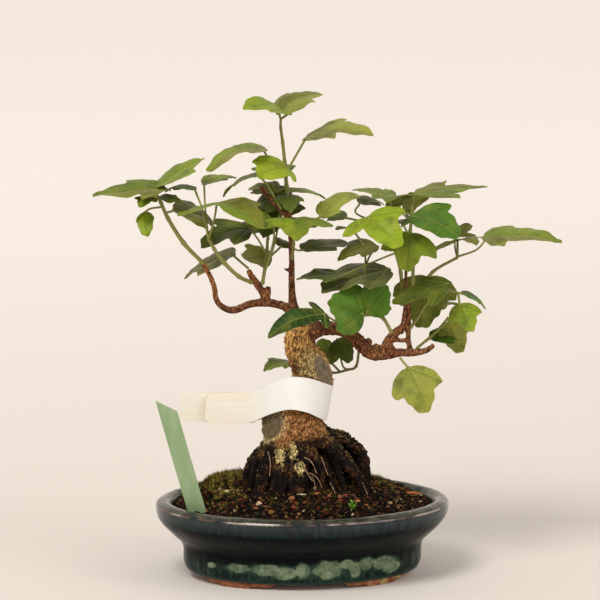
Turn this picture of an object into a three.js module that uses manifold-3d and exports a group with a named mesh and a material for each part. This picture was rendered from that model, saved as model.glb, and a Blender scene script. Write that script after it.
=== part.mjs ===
// A small trident maple bonsai in an oval glazed pot: pot, drain nets, soil, one woody tree with its roots,
// green shoots with three-lobed leaves, a stake and a band label. Millimetres, +Z up, the front faces -Y.
import * as THREE from "three";
import { mergeVertices } from "three/addons/utils/BufferGeometryUtils.js";
import Module from "manifold-3d";

const wasm = await Module();
wasm.setup();

// Driving dimensions

// The tree is measured from the middle of the pot; the part's origin is the middle of its bounding box.
const potCentre = { x: -11.5, y: 0 };

const pot = {
  rimLength: 150.8,
  narrowing: 17.5, // the half width is this much less than the half length, from foot to rim
  height: 40,
  footHeight: 2.6,
  floorTop: 7,
  drainRadius: 6,
  drainAt: 26, // each side of the middle
};

const gap = 0.3; // between pieces that touch
const bladeThickness = 0.7;
const stalkRadius = 0.55;
const net = { side: 17, thickness: 0.8, holes: 2, bar: 1.6 };
const stake = { width: 10.6, thickness: 0.8, foot: [-53.9, -21, 31], top: [-72.2, -21, 96.4], slant: 6.8 };
const stakeTurn = 35.7; // its face looks this far to the left of the front, in degrees
const bandThickness = 0.6;

// Small helpers

const vec = (p) => new THREE.Vector3(...p);
const degrees = THREE.MathUtils.degToRad;

// A closed mesh given as corner points and triangles becomes a solid.
function solidFrom(points, triangles) {
  const mesh = new wasm.Mesh({
    numProp: 3,
    vertProperties: new Float32Array(points.flat()),
    triVerts: new Uint32Array(triangles.flat()),
  });
  return new wasm.Manifold(mesh);
}

// A three.js geometry becomes a solid once its shared corners are merged.
function solidOf(geometry) {
  const bare = geometry.clone();
  bare.deleteAttribute("normal");
  bare.deleteAttribute("uv");
  const merged = mergeVertices(bare, 1e-4);
  const mesh = new wasm.Mesh({
    numProp: 3,
    vertProperties: new Float32Array(merged.attributes.position.array),
    triVerts: new Uint32Array(merged.index.array),
  });
  return new wasm.Manifold(mesh);
}

// Joins solids into one, and drops the slivers that joins leave.
function joined(solids) {
  return solids.reduce((sum, next) => sum.add(next)).simplify(0.05);
}

function geometryOf(solid) {
  const { vertProperties, triVerts } = solid.getMesh();
  const geometry = new THREE.BufferGeometry();
  geometry.setAttribute("position", new THREE.BufferAttribute(vertProperties, 3));
  geometry.setIndex(new THREE.BufferAttribute(triVerts, 1));
  geometry.computeVertexNormals();
  return geometry;
}

// Rings of equal count joined into a tube, with a flat fan over each end.
function skin(rings) {
  const n = rings[0].length;
  const triangles = [];
  for (let k = 0; k + 1 < rings.length; k++)
    for (let i = 0; i < n; i++) {
      const a = k * n + i;
      const b = k * n + ((i + 1) % n);
      triangles.push([a, b, b + n], [a, b + n, a + n]);
    }
  const last = (rings.length - 1) * n;
  for (let i = 1; i + 1 < n; i++) triangles.push([0, i + 1, i], [last, last + i, last + i + 1]);
  return solidFrom(rings.flat(), triangles);
}

// A limb of wood or a green stem: points [x, y, z] or [x, y, z, radius], swept by a frame that never
// spins. To grow it makes it thicker and longer by that much, for the pocket it stands in.
function limb(points, { radius = 1, sides = 6, grow = 0, knots = 0 } = {}) {
  const along = points.map((p) => vec(p.slice(0, 3)));
  const side = new THREE.Vector3();
  const rings = along.map((p, k) => {
    const before = along[Math.max(k - 1, 0)];
    const after = along[Math.min(k + 1, along.length - 1)];
    const tangent = after.clone().sub(before).normalize();
    if (k === 0) side.set(0, 1, 0).cross(tangent);
    if (side.lengthSq() < 1e-4) side.set(1, 0, 0);
    side.addScaledVector(tangent, -side.dot(tangent)).normalize();
    const other = tangent.clone().cross(side);
    const past = k === 0 ? -grow : k === along.length - 1 ? grow : 0;
    const r = (points[k][3] ?? radius) + grow;
    return Array.from({ length: sides }, (_, i) => {
      const turn = (2 * Math.PI * i) / sides;
      const bump = 1 + knots * Math.sin(3 * turn + 2.3 * k) * Math.cos(1.7 * k + turn);
      const at = p.clone().addScaledVector(tangent, past).addScaledVector(side, r * bump * Math.cos(turn));
      return at.addScaledVector(other, r * bump * Math.sin(turn)).toArray();
    });
  });
  return skin(rings);
}

// An oval body built up from rings [half length, half width, height], closed by its middle at both ends.
function ovalBody(rings, count = 30) {
  const points = [];
  const triangles = [];
  rings.forEach(([a, b, z]) => {
    for (let i = 0; i < count; i++) {
      const turn = (2 * Math.PI * i) / count;
      const [x, y] = [a * Math.cos(turn), b * Math.sin(turn)];
      points.push([x, y, typeof z === "function" ? z(x, y) : z]);
    }
  });
  for (let k = 0; k + 1 < rings.length; k++)
    for (let i = 0; i < count; i++) {
      const a = k * count + i;
      const b = k * count + ((i + 1) % count);
      triangles.push([a, b, b + count], [a, b + count, a + count]);
    }
  [0, rings.length - 1].forEach((k) => {
    const z = rings[k][2];
    const middle = points.push([0, 0, typeof z === "function" ? z(0, 0) : z]) - 1;
    for (let i = 0; i < count; i++) {
      const pair = [k * count + i, k * count + ((i + 1) % count)];
      triangles.push(k ? [middle, ...pair] : [middle, pair[1], pair[0]]);
    }
  });
  return solidFrom(points, triangles);
}

const part = new THREE.Group();
const bonsai = new THREE.Group();
bonsai.position.set(potCentre.x, potCentre.y, 0);
part.add(bonsai);

function piece(name, solid, colour, roughness, metalness = 0) {
  const material = new THREE.MeshStandardMaterial({ color: colour, roughness, metalness });
  const mesh = new THREE.Mesh(geometryOf(solid), material);
  mesh.name = name;
  bonsai.add(mesh);
}

// Pot: a fired oval bowl with a rounded rim band, a waist, a belly and four low feet

const rimHalf = pot.rimLength / 2;
const outerWall = [
  [57.7, pot.footHeight],
  [60, 4.6],
  [61.2, 8],
  [61.3, 15],
  [62.2, 18],
  [65, 20.8],
  [68.6, 24.3],
  [71.9, 27.6],
  [74.2, 31],
  [rimHalf, 35],
  [74.7, 38.2],
  [72.4, pot.height],
].map(([a, z]) => [a, a - pot.narrowing, z]);
const innerWall = [
  [68.6, 39.3],
  [67, 37.5],
  [66.2, 34],
  [64.8, 28],
  [58, 17],
  [54.5, 8.4],
  [51, pot.floorTop],
].map(([a, z]) => [a, a - pot.narrowing, z]);

function footShape(from, to) {
  const [a, b] = outerWall[0];
  const shape = new THREE.Shape();
  shape.absellipse(0, 0, a * 0.985, b * 0.985, degrees(from), degrees(to), false);
  shape.absellipse(0, 0, a * 0.84, b * 0.76, degrees(to - 3), degrees(from + 3), true);
  return shape;
}

function potSolid() {
  let bowl = ovalBody([...outerWall, ...innerWall]);
  [203, 287, 23, 107].forEach((from) => {
    const foot = new THREE.ExtrudeGeometry(footShape(from, from + 50), {
      depth: pot.footHeight + 1.4,
      bevelEnabled: false,
      curveSegments: 5,
    });
    bowl = bowl.add(solidOf(foot));
  });
  [-pot.drainAt, pot.drainAt].forEach((x) => {
    const drill = new THREE.CylinderGeometry(pot.drainRadius, pot.drainRadius, 20, 16);
    drill.rotateX(Math.PI / 2).translate(x, 0, 5);
    bowl = bowl.subtract(solidOf(drill));
  });
  return bowl;
}

// Drain nets: small squares of plastic mesh over the drain holes

function netSolid(x) {
  const pitch = (net.side - net.bar) / net.holes;
  const bars = Array.from({ length: net.holes + 1 }, (_, i) => {
    const off = -net.side / 2 + net.bar / 2 + i * pitch;
    const lengthwise = new THREE.BoxGeometry(net.side, net.bar, net.thickness).translate(0, off, 0);
    const crosswise = new THREE.BoxGeometry(net.bar, net.side, net.thickness).translate(off, 0, 0);
    return solidOf(lengthwise).add(solidOf(crosswise));
  });
  return joined(bars).translate([x, 0, pot.floorTop + gap + net.thickness / 2]);
}

// Wood: trunk, roots and branches, which grew as one piece. Each limb is [x, y, z, radius] along its
// middle.

const trunk = [
  [2, 0, 43, 20], [1, 0, 53, 15.5], [-2, 0, 62, 14.8], [-4, 0.5, 70, 15], [-4.8, 0.5, 77.5, 15.4],
    [-2.4, 0, 87, 13.8],
  [2.1, -0.5, 94.5, 11.5], [5.8, -0.5, 101, 9.4], [3.9, -0.5, 108, 9.6], [0.5, 0, 114.5, 8.6],
    [-1.5, 0, 121, 7.8],
  [-0.5, 0, 127.5, 7.6], [-1.5, 0, 133.5, 5.6], [-3, 0.5, 136.5, 3.4],
];
const roots = [
  [[-12, -2, 74, 6], [-16, -3, 69.5, 4.6], [-20, -4.5, 65.8, 3.7], [-24, -6, 62.6, 3.4],
    [-27, -7, 58.8, 3.1], [-28.6, -8, 53.5, 2.9], [-29.5, -8, 45, 2.6]],
  [[-10, -8, 74, 6.5], [-16, -13, 67.5, 4.5], [-20.5, -17, 59, 3.6], [-24, -20, 49, 3],
    [-26, -22, 42, 2.4]],
  [[-6, -9, 72, 6], [-10, -15.5, 63.5, 4.2], [-12, -19, 55.5, 3.2], [-14, -22, 45, 2.5]],
  [[-1, -9, 71, 6], [-1.5, -16, 62.5, 4], [-3, -21, 52.5, 3.1], [-4, -23.5, 43, 2.5]],
  [[6, -7, 74, 6], [12.5, -13.5, 69.5, 3.9], [20, -17, 62, 3.2], [28, -19.5, 52, 2.7],
    [31, -20.5, 42, 2.2]],
  [[5, -1, 75.5, 7], [13, -2, 72, 4.6], [20, -3, 71, 4], [28, -5, 65.6, 3.1], [31, -6, 60, 2.8],
    [31.8, -6.5, 53, 2.7], [32.3, -6.5, 42, 2.4]],
  [[-6, 5, 69, 6.5], [-12, 13, 59.5, 4.6], [-17, 22, 52, 3.4], [-19, 25, 42, 2.6]],
  [[3, 6, 69, 6.5], [11, 14.5, 60, 4.6], [18, 21, 50, 3.4], [20, 23.5, 41, 2.6]],
  [[8, 2, 70, 7], [19, 7, 61, 4.6], [26, 10, 51, 3.4], [28, 11, 42, 2.6]],
  [[12, 2, 71, 5], [22, 1, 64, 4], [27, 0, 57, 3.4], [29, -1, 45, 2.8]],
];
const branches = {
  leader: [[-2, 0, 132.5, 4], [-4, 0.5, 137, 3], [-5, 0.5, 142.5, 2.2], [-5.5, 0.5, 153, 1.7],
    [-5.5, 0.5, 163.5, 1.5], [-6, 0.5, 176, 1.4],
    [-6.5, 0.5, 186.5, 1.3], [-7, 0.5, 194, 1.2]],
  leaderStub: [[-6, 0.5, 158, 1.1], [-8, -0.5, 158.7, 0.8], [-9.5, -1, 159.5, 0.6]],
  left: [[-2, 0, 131, 4.4], [-7.5, -0.5, 138.5, 2.5], [-13, -0.5, 141, 2.2], [-21, -1, 142, 2.1],
    [-28.5, -1.5, 141, 2], [-33.5, -2, 139, 2],
    [-38, -2, 138.8, 1.8], [-42, -2, 141, 1.6], [-44.5, -3, 145, 1.5], [-45.5, -3.5, 151.5, 1.4],
      [-48, -3.5, 157.5, 1.3], [-51.5, -4, 163.5, 1.2]],
  leftStub: [[-44.5, -3, 146, 1.2], [-45.5, -4.5, 149, 0.9], [-46.5, -5.5, 151.5, 0.7]],
  spur: [[-19.5, -1, 142, 2], [-20, -1.5, 146, 1.9], [-22.5, -2, 150.5, 2], [-25, -2.8, 154, 1.9],
    [-26.8, -3.3, 157, 1.6], [-28, -3.5, 159.5, 1.2]],
  spurKnob: [[-19, -1, 143, 2.1], [-18, -1.5, 147.5, 1.8], [-17.5, -2, 150.5, 1.2]],
  cut: [[-6.5, 0.5, 184.5, 1.3], [-11, 4, 189, 1.4], [-16, 7.5, 194.5, 1.4], [-20.5, 10, 200, 1.3]],
  right: [[2, 0, 126, 6], [9.5, -3, 128.5, 4], [15.5, -4.5, 128.5, 3.5], [21, -6, 127.5, 3.3],
    [26, -7.5, 124.5, 3.3], [29.5, -9, 120, 3.4],
    [34.5, -10.5, 116.5, 3.5], [41, -12, 116, 2.8], [48.5, -12.5, 117, 2.2], [54, -13.5, 117, 2],
      [61.5, -14, 118, 1.6], [66, -14.5, 121, 1.3]],
  knobs: [[40, -12, 116.5, 2.6], [42, -12, 122, 2.3], [45.5, -12.3, 126.5, 2.3], [50, -12.8, 130.5, 1.9],
    [50.5, -13, 134, 1.3], [51.5, -11, 141, 1.1],
    [52, -8, 151, 1], [52.5, -5, 159, 0.9]],
  second: [[42, -12, 122.5, 1.7], [46, -12.5, 123.5, 1.3], [50, -12.8, 123.3, 1.2], [53.2, -13, 123.5, 1]],
  fork: [[54, -13.5, 117, 1.7], [53, -13.2, 123.5, 1.3], [52.7, -14, 131, 1.5], [53, -14.5, 138, 1.2],
    [53, -14.5, 142.5, 1.1], [55, -14.5, 145.5, 1]],
  forkRight: [[53, -14.5, 142.5, 1], [55.5, -12.5, 145, 0.9], [57.5, -12, 146.8, 0.8]],
};

const budKnots = [
  [36.4, -12.2, 119.6, 2.3], [33, -9, 122.5, 2], [44.5, -13.9, 119.5, 1.9], [49.5, -10.5, 127.5, 1.7],
    [29, -11, 124.5, 1.8],
];

function rootSolids(grow) {
  const foot = limb(trunk.slice(0, 6), { sides: 10, knots: 0.05, grow });
  return [foot, ...roots.map((root) => limb(root, { sides: 6, knots: 0.1, grow }))];
}

function woodSolid() {
  const limbs = Object.values(branches).map((points) => limb(points, { sides: 6, knots: 0.08 }));
  const balls = budKnots.map(([x, y, z, r]) => new THREE.IcosahedronGeometry(r, 0).translate(x, y, z));
  const stem = limb(trunk, { sides: 10, knots: 0.05 });
  return joined([stem, ...rootSolids(0).slice(1), ...limbs, ...balls.map(solidOf)]);
}

// Soil: one mound that fills the pot to just below its rim, with holes where the roots and the stake
// stand. It is heaped up on the left, and a little on the right.

const heaps = [[-44, 6, 22, 20, 7], [42, 4, 18, 18, 2.6]]; // x, y, half length, half width, height

function soilHeight(x, y) {
  const share = Math.min((x / 66.4) ** 2 + (y / 48.9) ** 2, 1);
  const bumps = 0.5 * Math.sin(0.31 * x + 1) * Math.cos(0.37 * y) + 0.35 * Math.sin(0.6 * x - 0.5 * y);
  const heaped = heaps.reduce(
    (sum, [cx, cy, a, b, rise]) => sum + rise * Math.exp(-(((x - cx) / a) ** 2) - ((y - cy) / b) ** 2),
    0,
  );
  return 35.4 + 14.6 * (1 - share) ** 0.85 + bumps * (1 - share) + heaped * (1 - share) ** 0.25;
}

function soilSolid() {
  const side = innerWall.slice(2).map(([a, b, z]) => [a - 1.5 * gap, b - 1.5 * gap, z < 9 ? z + gap : z]);
  const top = [65.9, 57, 46, 34, 22, 10].map((a) => [a, a * 0.73, soilHeight]);
  const mound = ovalBody([...side.reverse(), ...top]);
  const pocket = net.side / 2 + gap;
  let soil = mound;
  [-pot.drainAt, pot.drainAt].forEach((x) => {
    const room = new THREE.BoxGeometry(2 * pocket, 2 * pocket, 4).translate(x, 0, pot.floorTop + 1.4 - 2);
    soil = soil.subtract(solidOf(room));
  });
  return soil.subtract(joined(rootSolids(gap))).subtract(stakeSolid(gap));
}

// Green shoots: each has a stem and its leaves. A leaf's upper side looks towards its facing direction.
// Its left and right lobes, seen from that side, are [angle from the middle lobe, length over the middle
// lobe's].

function leaf(stalk, base, tip, facing, look = {}) {
  return { stalk, base, tip, facing, left: [46, 0.74], right: [46, 0.74], arch: 0.12, slim: 1, ...look };
}

// How far the leaf's edge lies from its base in the direction given in degrees, over the leaf's length.
function edgeReach(angle, { left, right, slim }) {
  const lobe = ([at, length], spread) =>
    length * Math.exp(-((Math.abs(angle - at) / (spread * slim)) ** 1.5));
  return Math.max(lobe([0, 1], 50), lobe(left, 34), lobe([-right[0], right[1]], 34), 0.06);
}

function edgeAngles({ left, right }) {
  const half = (at) => [0.3 * at, 0.63 * at, at, at + 19, Math.min(at + 44, 172)];
  return [0, ...half(left[0]), 180, ...half(right[0]).map((a) => -a).reverse()];
}

function bladeSolid(shape) {
  const base = vec(shape.base);
  const axis = vec(shape.tip).sub(base);
  const length = axis.length();
  axis.normalize();
  const normal = vec(shape.facing);
  normal.addScaledVector(axis, -normal.dot(axis)).normalize();
  const side = normal.clone().cross(axis);
  const place = (reach, angle, lift) => {
    const s = reach * Math.cos(degrees(angle));
    const q = reach * Math.sin(degrees(angle));
    const height = shape.arch * 4 * s * (1 - s) + 0.12 * Math.abs(q) - 0.25 * q * q;
    const at = base.clone().addScaledVector(axis, s * length).addScaledVector(side, q * length);
    return at.addScaledVector(normal, height * length + lift).toArray();
  };
  const angles = edgeAngles(shape);
  const n = angles.length;
  const points = [];
  [bladeThickness / 2, -bladeThickness / 2].forEach((lift) => {
    angles.forEach((a) => points.push(place(edgeReach(a, shape), a, lift)));
    angles.forEach((a) => points.push(place(0.5 * edgeReach(a, shape), a, lift)));
    points.push(place(0, 0, lift));
  });
  const half = 2 * n + 1;
  const triangles = [];
  for (let i = 0; i < n; i++) {
    const j = (i + 1) % n;
    const upper = [[i, j, n + j], [i, n + j, n + i], [n + i, n + j, 2 * n]];
    triangles.push(...upper, ...upper.map(([a, b, c]) => [a + half, c + half, b + half]));
    triangles.push([i, i + half, j + half], [i, j + half, j]);
  }
  return solidFrom(points, triangles);
}

function leafSolids(shape) {
  const stalk = limb([...shape.stalk, shape.base], { radius: stalkRadius, sides: 3 });
  return [bladeSolid(shape), stalk];
}

const shoots = {
  top_shoot: {
    stem: [[-7, 0.5, 194.4, 1], [-8, 1, 201.5, 1], [-9, 1, 214, 0.9], [-10, 1, 224, 0.8],
      [-11, 1, 231.5, 0.7], [-11, 1, 236.5, 0.6]],
    leaves: [
      leaf([[-11, 1, 236]], [-13, 3, 239], [-31, -9, 246], [-0.25, -0.2, 1], { left: [30, 0.85] }),
      leaf([[-11, 1, 236]], [-9, 1, 240], [11, 11, 247], [-0.3, -0.05, 1]),
      leaf([[-8, 1, 209]], [2, 2, 226], [36, -7, 228], [0, 0, 1], { slim: 0.8 }),
      leaf([[-9, 1, 211], [-16, 0, 215]], [-21, -2, 222], [-49, -9, 211], [-0.4, 0, 1],
        { left: [60, 0.6], right: [60, 0.6] }),
      leaf([[-8, 1, 206]], [-8, -7, 212], [-25, -18, 210], [0, -1, 0.9],
        { left: [75, 0.5], right: [25, 0.95] }),
      leaf([[-8, 1, 198]], [-6, 5, 198], [13, 11, 193], [0, 0, 1]),
      leaf([[-8, 1, 199]], [-8, -5, 198], [-8, -17, 191], [0, -1, 0.6]),
      leaf([[-8, 1, 201]], [-12, 15, 196], [-25, 27, 196], [0, 0, 1]),
      leaf([[-9, 1, 208]], [-10, 13, 206], [-16, 34, 205], [0, -0.1, 1]),
    ],
  },
  left_shoot: {
    stem: [[-51.7, -4, 164, 1], [-61, -4, 174, 1.1], [-69, -5.5, 187, 1], [-72.5, -6, 195, 0.9],
      [-76, -7, 201.5, 0.8]],
    leaves: [
      leaf([[-76, -7, 201]], [-78, -7, 201], [-107, -8, 199], [0, -0.04, 1], { arch: 0.06 }),
      leaf([[-76, -7, 201]], [-75, -5, 203], [-50, 3, 216], [-0.5, -0.1, 1],
        { left: [40, 0.6], right: [40, 0.8], arch: 0.03 }),
      leaf([[-75, -7, 199]], [-78, -11, 199], [-84, -20, 195], [-0.3, -0.6, 1]),
      leaf([[-75, -7, 199]], [-73, -6, 198], [-60.5, -9, 193.5], [0.2, -0.15, 1]),
      leaf([[-72, -6, 193], [-78, -5, 192]], [-82, -4, 187], [-81, -12, 180], [-1, -1, 1],
        { left: [40, 0.6], right: [40, 0.6] }),
      leaf([[-70, -6, 190]], [-65, 1.5, 189.8], [-43.5, 9, 179], [0.3, -0.3, 1], { right: [46, 0.75] }),
    ],
  },
  crossing_shoot: {
    stem: [[-26.9, -4.8, 153.4, 1], [-33.5, -11, 157.5, 1], [-41, -14, 165, 1], [-46.4, -16, 172.7, 0.9],
      [-49.5, -18.5, 178.4, 0.8]],
    leaves: [
      leaf([[-49.5, -18, 178], [-52, -16, 192]], [-55, -1, 201], [-70, 5, 199], [0, 0.05, 1]),
      leaf([[-49.5, -18, 178], [-50.5, -12, 192.5]], [-49.3, 11, 202], [-32.3, 17, 203.3], [0, 0, 1]),
      leaf([[-49.5, -18, 178], [-46.5, -18, 188]], [-45, -16, 196], [-24, -36, 186], [0.2, -0.02, 1],
        { right: [100, 0.8] }),
    ],
  },
  spur_shoot: {
    stem: [[-20.5, -1.9, 152.7, 0.9], [-19, 0, 161, 0.9], [-18, 1.5, 168.5, 0.8], [-17.5, 3.5, 174.5, 0.7]],
    leaves: [
      leaf([[-17, 4, 174]], [-18, 10, 182], [-28, 17, 188], [0, -1, 0.7]),
      leaf([[-19, 1, 168], [-23, 0, 175]], [-27, -1, 180], [-53, -7, 172], [-0.3, -0.4, 1], { slim: 0.85 }),
      leaf([[-18, 2, 165]], [-17, 6, 167], [-29, 17, 163], [0, -0.8, -0.4]),
      leaf([[-19, 1, 163]], [-9, 21, 167], [-7, 31, 169], [0.4, -0.6, 1]),
      leaf([[-17, 4, 174]], [-18, 20, 178], [-23, 42, 175], [0, -0.1, 1]),
    ],
  },
  spur_tip_leaf: {
    leaves: [leaf([[-28, -3.3, 160.2]], [-35.2, 7, 166.8], [-58.7, 20, 155.8], [-0.3, -0.12, 1])],
  },
  cut_branch_leaf: {
    leaves: [leaf([[-10.6, 1.8, 189.4], [-16.5, 3, 200], [-18, 3, 202.5]], [-22.5, 1, 207.5],
      [-40, 6, 196], [-0.4, 0.1, 1])],
  },
  leader_shoot: {
    stem: [[-5.4, -1.8, 165.5, 0.8], [-5, -4.5, 172.5, 0.8], [-5.5, -6.5, 179.5, 0.8]],
    leaves: [
      leaf([[-6, -7, 180]], [-6, -11, 187], [-6, -34, 179], [0, -0.45, 1],
        { left: [55, 0.95], right: [55, 0.95] }),
      leaf([[-6, -7, 180], [2, -12, 184]], [9, -9, 188], [29, -1, 197], [0, -0.25, 1],
        { left: [60, 0.5], right: [60, 0.5] }),
      leaf([[-5, -4, 170], [-2, -3, 169]], [1, 7, 167.5], [26, 14, 169.5], [0, -0.05, 1], { arch: 0.04 }),
      leaf([[-6, -7, 180], [-3, -3, 180]], [-1, 12, 179], [7, 35, 174], [0, -0.1, 1]),
    ],
  },
  tall_right_shoot: {
    stem: [[52.5, -5, 159.6, 0.9], [53, -5, 168.5, 0.9], [54.5, -5, 178, 0.9], [55.5, -5.5, 188, 0.8],
      [56, -3.5, 194, 0.7]],
    leaves: [
      leaf([[55.5, -5, 189.5]], [51, 1, 194], [42, -14, 195], [-0.2, -0.05, 1],
        { left: [46, 0.7], right: [120, 0.8] }),
      leaf([[56, -3, 194]], [58, -2, 197], [95, 1, 200], [0, 0.06, 1], { arch: 0.02, slim: 0.75 }),
      leaf([[55, -5, 183]], [53, 11, 187], [67, 16, 193], [-0.2, 0.9, 0.5],
        { left: [46, 0.6], right: [46, 0.6] }),
      leaf([[55.4, -5.4, 187], [43, -18, 191]], [31, -25, 189], [46, -39, 176], [0, -1, 0.5],
        { left: [52, 0.79], right: [96, 0.66] }),
      leaf([[54, -5, 176]], [53, 15, 179], [47, 38, 171], [0, -0.1, 1]),
      leaf([[55, -5, 183]], [61, 14, 179], [71, 34, 176], [0, -0.1, 1]),
    ],
  },
  front_right_shoot: {
    stem: [[55, -14.5, 146.3, 0.9], [55, -14.5, 154.5, 0.9], [55, -13.5, 161.5, 0.9], [54, -13, 170, 0.8],
      [53, -14, 175, 0.7]],
    leaves: [
      leaf([[53, -14, 175], [53, -19, 183]], [54, -23, 189], [76, -37, 180], [0.2, -0.8, 1],
        { left: [50, 0.74], right: [95, 0.35] }),
      leaf([[53, -14, 175]], [53, -17, 179], [51, -25, 163], [0, -1, 0.4],
        { left: [52, 0.78], right: [52, 0.78] }),
      leaf([[55, -13, 166]], [59, 8, 166], [56, 31, 159], [0, -0.1, 1]),
    ],
  },
  back_right_shoot: {
    stem: [[50, -9, 142, 0.9], [50.5, 1, 156, 0.9], [48, 3.5, 167, 0.9], [46.5, 5.5, 176, 0.8],
      [45, 5.5, 185.5, 0.7]],
    leaves: [
      leaf([[45, 6, 185]], [46, 4, 195], [27, 14, 197], [0, -0.02, 1],
        { left: [60, 0.6], right: [60, 0.6], arch: 0.05 }),
      leaf([[46, 6, 179], [29, 11, 185]], [31, 15, 190], [44, 22, 188], [0, -0.2, 1]),
      leaf([[46, 6, 179], [33, 11, 181]], [23, 12, 183], [12, 19, 182], [0, -0.25, 1]),
      leaf([[48.3, 3.2, 166], [38, -4, 163.5], [24, -8, 158.5]], [20, -9, 157], [-4, -12, 155.5],
        [0, -0.25, 1], { arch: 0.05 }),
    ],
  },
  inner_shoot: {
    stem: [[43.8, -13.8, 128.5, 0.9], [40, -13.5, 135, 0.9], [35.5, -11.5, 136.5, 0.9],
      [31, -11, 136.5, 0.8]],
    leaves: [
      leaf([[40, -13, 135], [41, -4, 147]], [43, -2, 158], [8, -13, 149], [-0.25, -0.4, 1], { arch: 0.05 }),
      leaf([[31, -11, 136]], [29, -15, 138], [11, -19, 145], [0, -1, 0.5],
        { left: [50, 0.8], right: [50, 0.8] }),
      leaf([[31, -11, 136]], [32, -13, 139], [42, -14, 152], [0, -1, 0.4]),
      leaf([[31, -11, 136], [31, -7, 150], [33, -1, 162]], [38, 2, 170], [18, -2, 163], [0, -0.2, 1]),
      leaf([[31, -7, 152], [32, 1, 168]], [27, 5, 177], [17, -2, 179], [0, 0, 1]),
      leaf([[31, -10, 140]], [36, 9, 141], [29, 31, 132], [0, -0.1, 1]),
    ],
  },
  trunk_top_leaf: {
    leaves: [
      leaf([[21, -8.1, 130.1], [16, -16, 134]], [9, -21, 139], [-20, -26, 129], [-0.2, -0.5, 1],
        { left: [75, 0.4], right: [75, 0.4], slim: 0.7 }),
    ],
  },
  under_branch_shoot: {
    stem: [[28.4, -6.3, 118.1, 0.7], [27.5, -0.5, 108, 0.7], [23.5, 6, 105, 0.7], [17, 14.5, 102, 0.6],
      [6.5, 25.5, 103.5, 0.6]],
    leaves: [
      leaf([[7.5, 24.6, 103.4]], [-4, 25, 106], [-18, 18, 103], [-0.25, -0.25, 1]),
      leaf([[20, 10.5, 103.5]], [17, 20, 106], [12, 29, 117], [0, -1, 0.5]),
      leaf([[23.5, 6, 105], [21, 6, 108]], [19, 10, 120], [25, 4, 109], [0, -1, 0.5]),
    ],
  },
  low_right_shoot: {
    stem: [[54.1, -16.1, 131, 0.8], [58, -12.5, 135.5, 0.8], [63, -10, 142.5, 0.8], [69, -11.5, 147, 0.8],
      [74, -15, 149, 0.7], [78.5, -15.5, 147.5, 0.7]],
    leaves: [
      leaf([[69, -12, 147]], [72, -22, 154], [43, -27, 144.5], [-0.35, -0.35, 1],
        { right: [46, 0.5], arch: 0.05, slim: 0.8 }),
      leaf([[63, -10, 142]], [67, -6, 147], [65, 0, 127], [0, 1, 0.3],
        { left: [50, 0.8], right: [50, 0.8] }),
      leaf([[78, -16, 148]], [78, -22, 143], [83, -30, 130], [0.1, -1, 0.5]),
      leaf([[78, -16, 148]], [80, -12, 147], [93, -9, 138], [0.5, -0.1, 1], { slim: 0.7 }),
      leaf([[63, -10, 142]], [66, 8, 139], [72, 31, 129], [0, -0.1, 1]),
    ],
  },
  branch_end_shoot: {
    stem: [[58, -12.5, 119.6, 0.7], [68, -6.5, 126.5, 0.7], [74.5, -5, 133.5, 0.6]],
    leaves: [
      leaf([[73.8, -5.2, 132.6]], [75, -5, 131], [81, -2, 114], [0, 1, 0.4],
        { left: [42, 0.6], right: [42, 0.6] }),
      leaf([[60.5, -11, 121.3]], [66, 0, 122], [83, 4, 120], [0, -0.3, 1]),
    ],
  },
  hanging_leaf: {
    leaves: [leaf([[48.5, -12.9, 114.6]], [53, -15, 109], [61, -22, 87], [0, -1, 0.45])],
  },
  far_right_shoot: {
    stem: [[57.8, -11.9, 147.2, 0.8], [65.5, -10.5, 158, 0.8], [78, -11.5, 165.5, 0.7]],
    leaves: [
      leaf([[78, -12, 166], [87, -12, 169], [91, -13, 173]], [92, -13, 176], [130, -23, 175], [0, -0.04, 1],
        { left: [60, 0.6], right: [60, 0.6], arch: 0.05, slim: 0.85 }),
      leaf([[78, -12, 166]], [79, -4, 173], [87, -18, 173], [0, 0, 1], { right: [120, 0.9] }),
      leaf([[78, -11.5, 165.5], [78, -2, 169]], [79, 8, 173], [89, 18, 177], [0.2, -0.4, 1], { slim: 0.6 }),
    ],
  },
};

function shootSolid({ stem, leaves }) {
  const stems = stem ? [limb(stem, { sides: 5 })] : [];
  return joined([...stems, ...leaves.flatMap(leafSolids)]);
}

// Name stake: a bare strip of pale green plastic with a slanted top, pushed into the soil

function stakeSolid(grow = 0) {
  const foot = vec(stake.foot);
  const up = vec(stake.top).sub(foot);
  const length = up.length();
  up.normalize();
  const half = stake.width / 2 + grow;
  const shape = new THREE.Shape();
  shape.moveTo(-half, -grow).lineTo(half, -grow);
  shape.lineTo(half, length - stake.slant).lineTo(-half, length + grow);
  const thickness = stake.thickness + 2 * grow;
  const strip = new THREE.ExtrudeGeometry(shape, { depth: thickness, bevelEnabled: false });
  const normal = new THREE.Vector3(-Math.sin(degrees(stakeTurn)), -Math.cos(degrees(stakeTurn)), 0);
  normal.addScaledVector(up, -normal.dot(up)).normalize();
  const across = up.clone().cross(normal);
  strip.translate(0, 0, -thickness / 2);
  strip.applyMatrix4(new THREE.Matrix4().makeBasis(across, up, normal).setPosition(foot));
  return solidOf(strip);
}

// Band label: a bare white band looped around the trunk, its two tails lying together to the left. It rides
// up in front. Its rows run from the back tail round to the front tail: [x, y, z, lean, half] is its middle,
// how far its upper edge stands to the right of it, and its half width.

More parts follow.
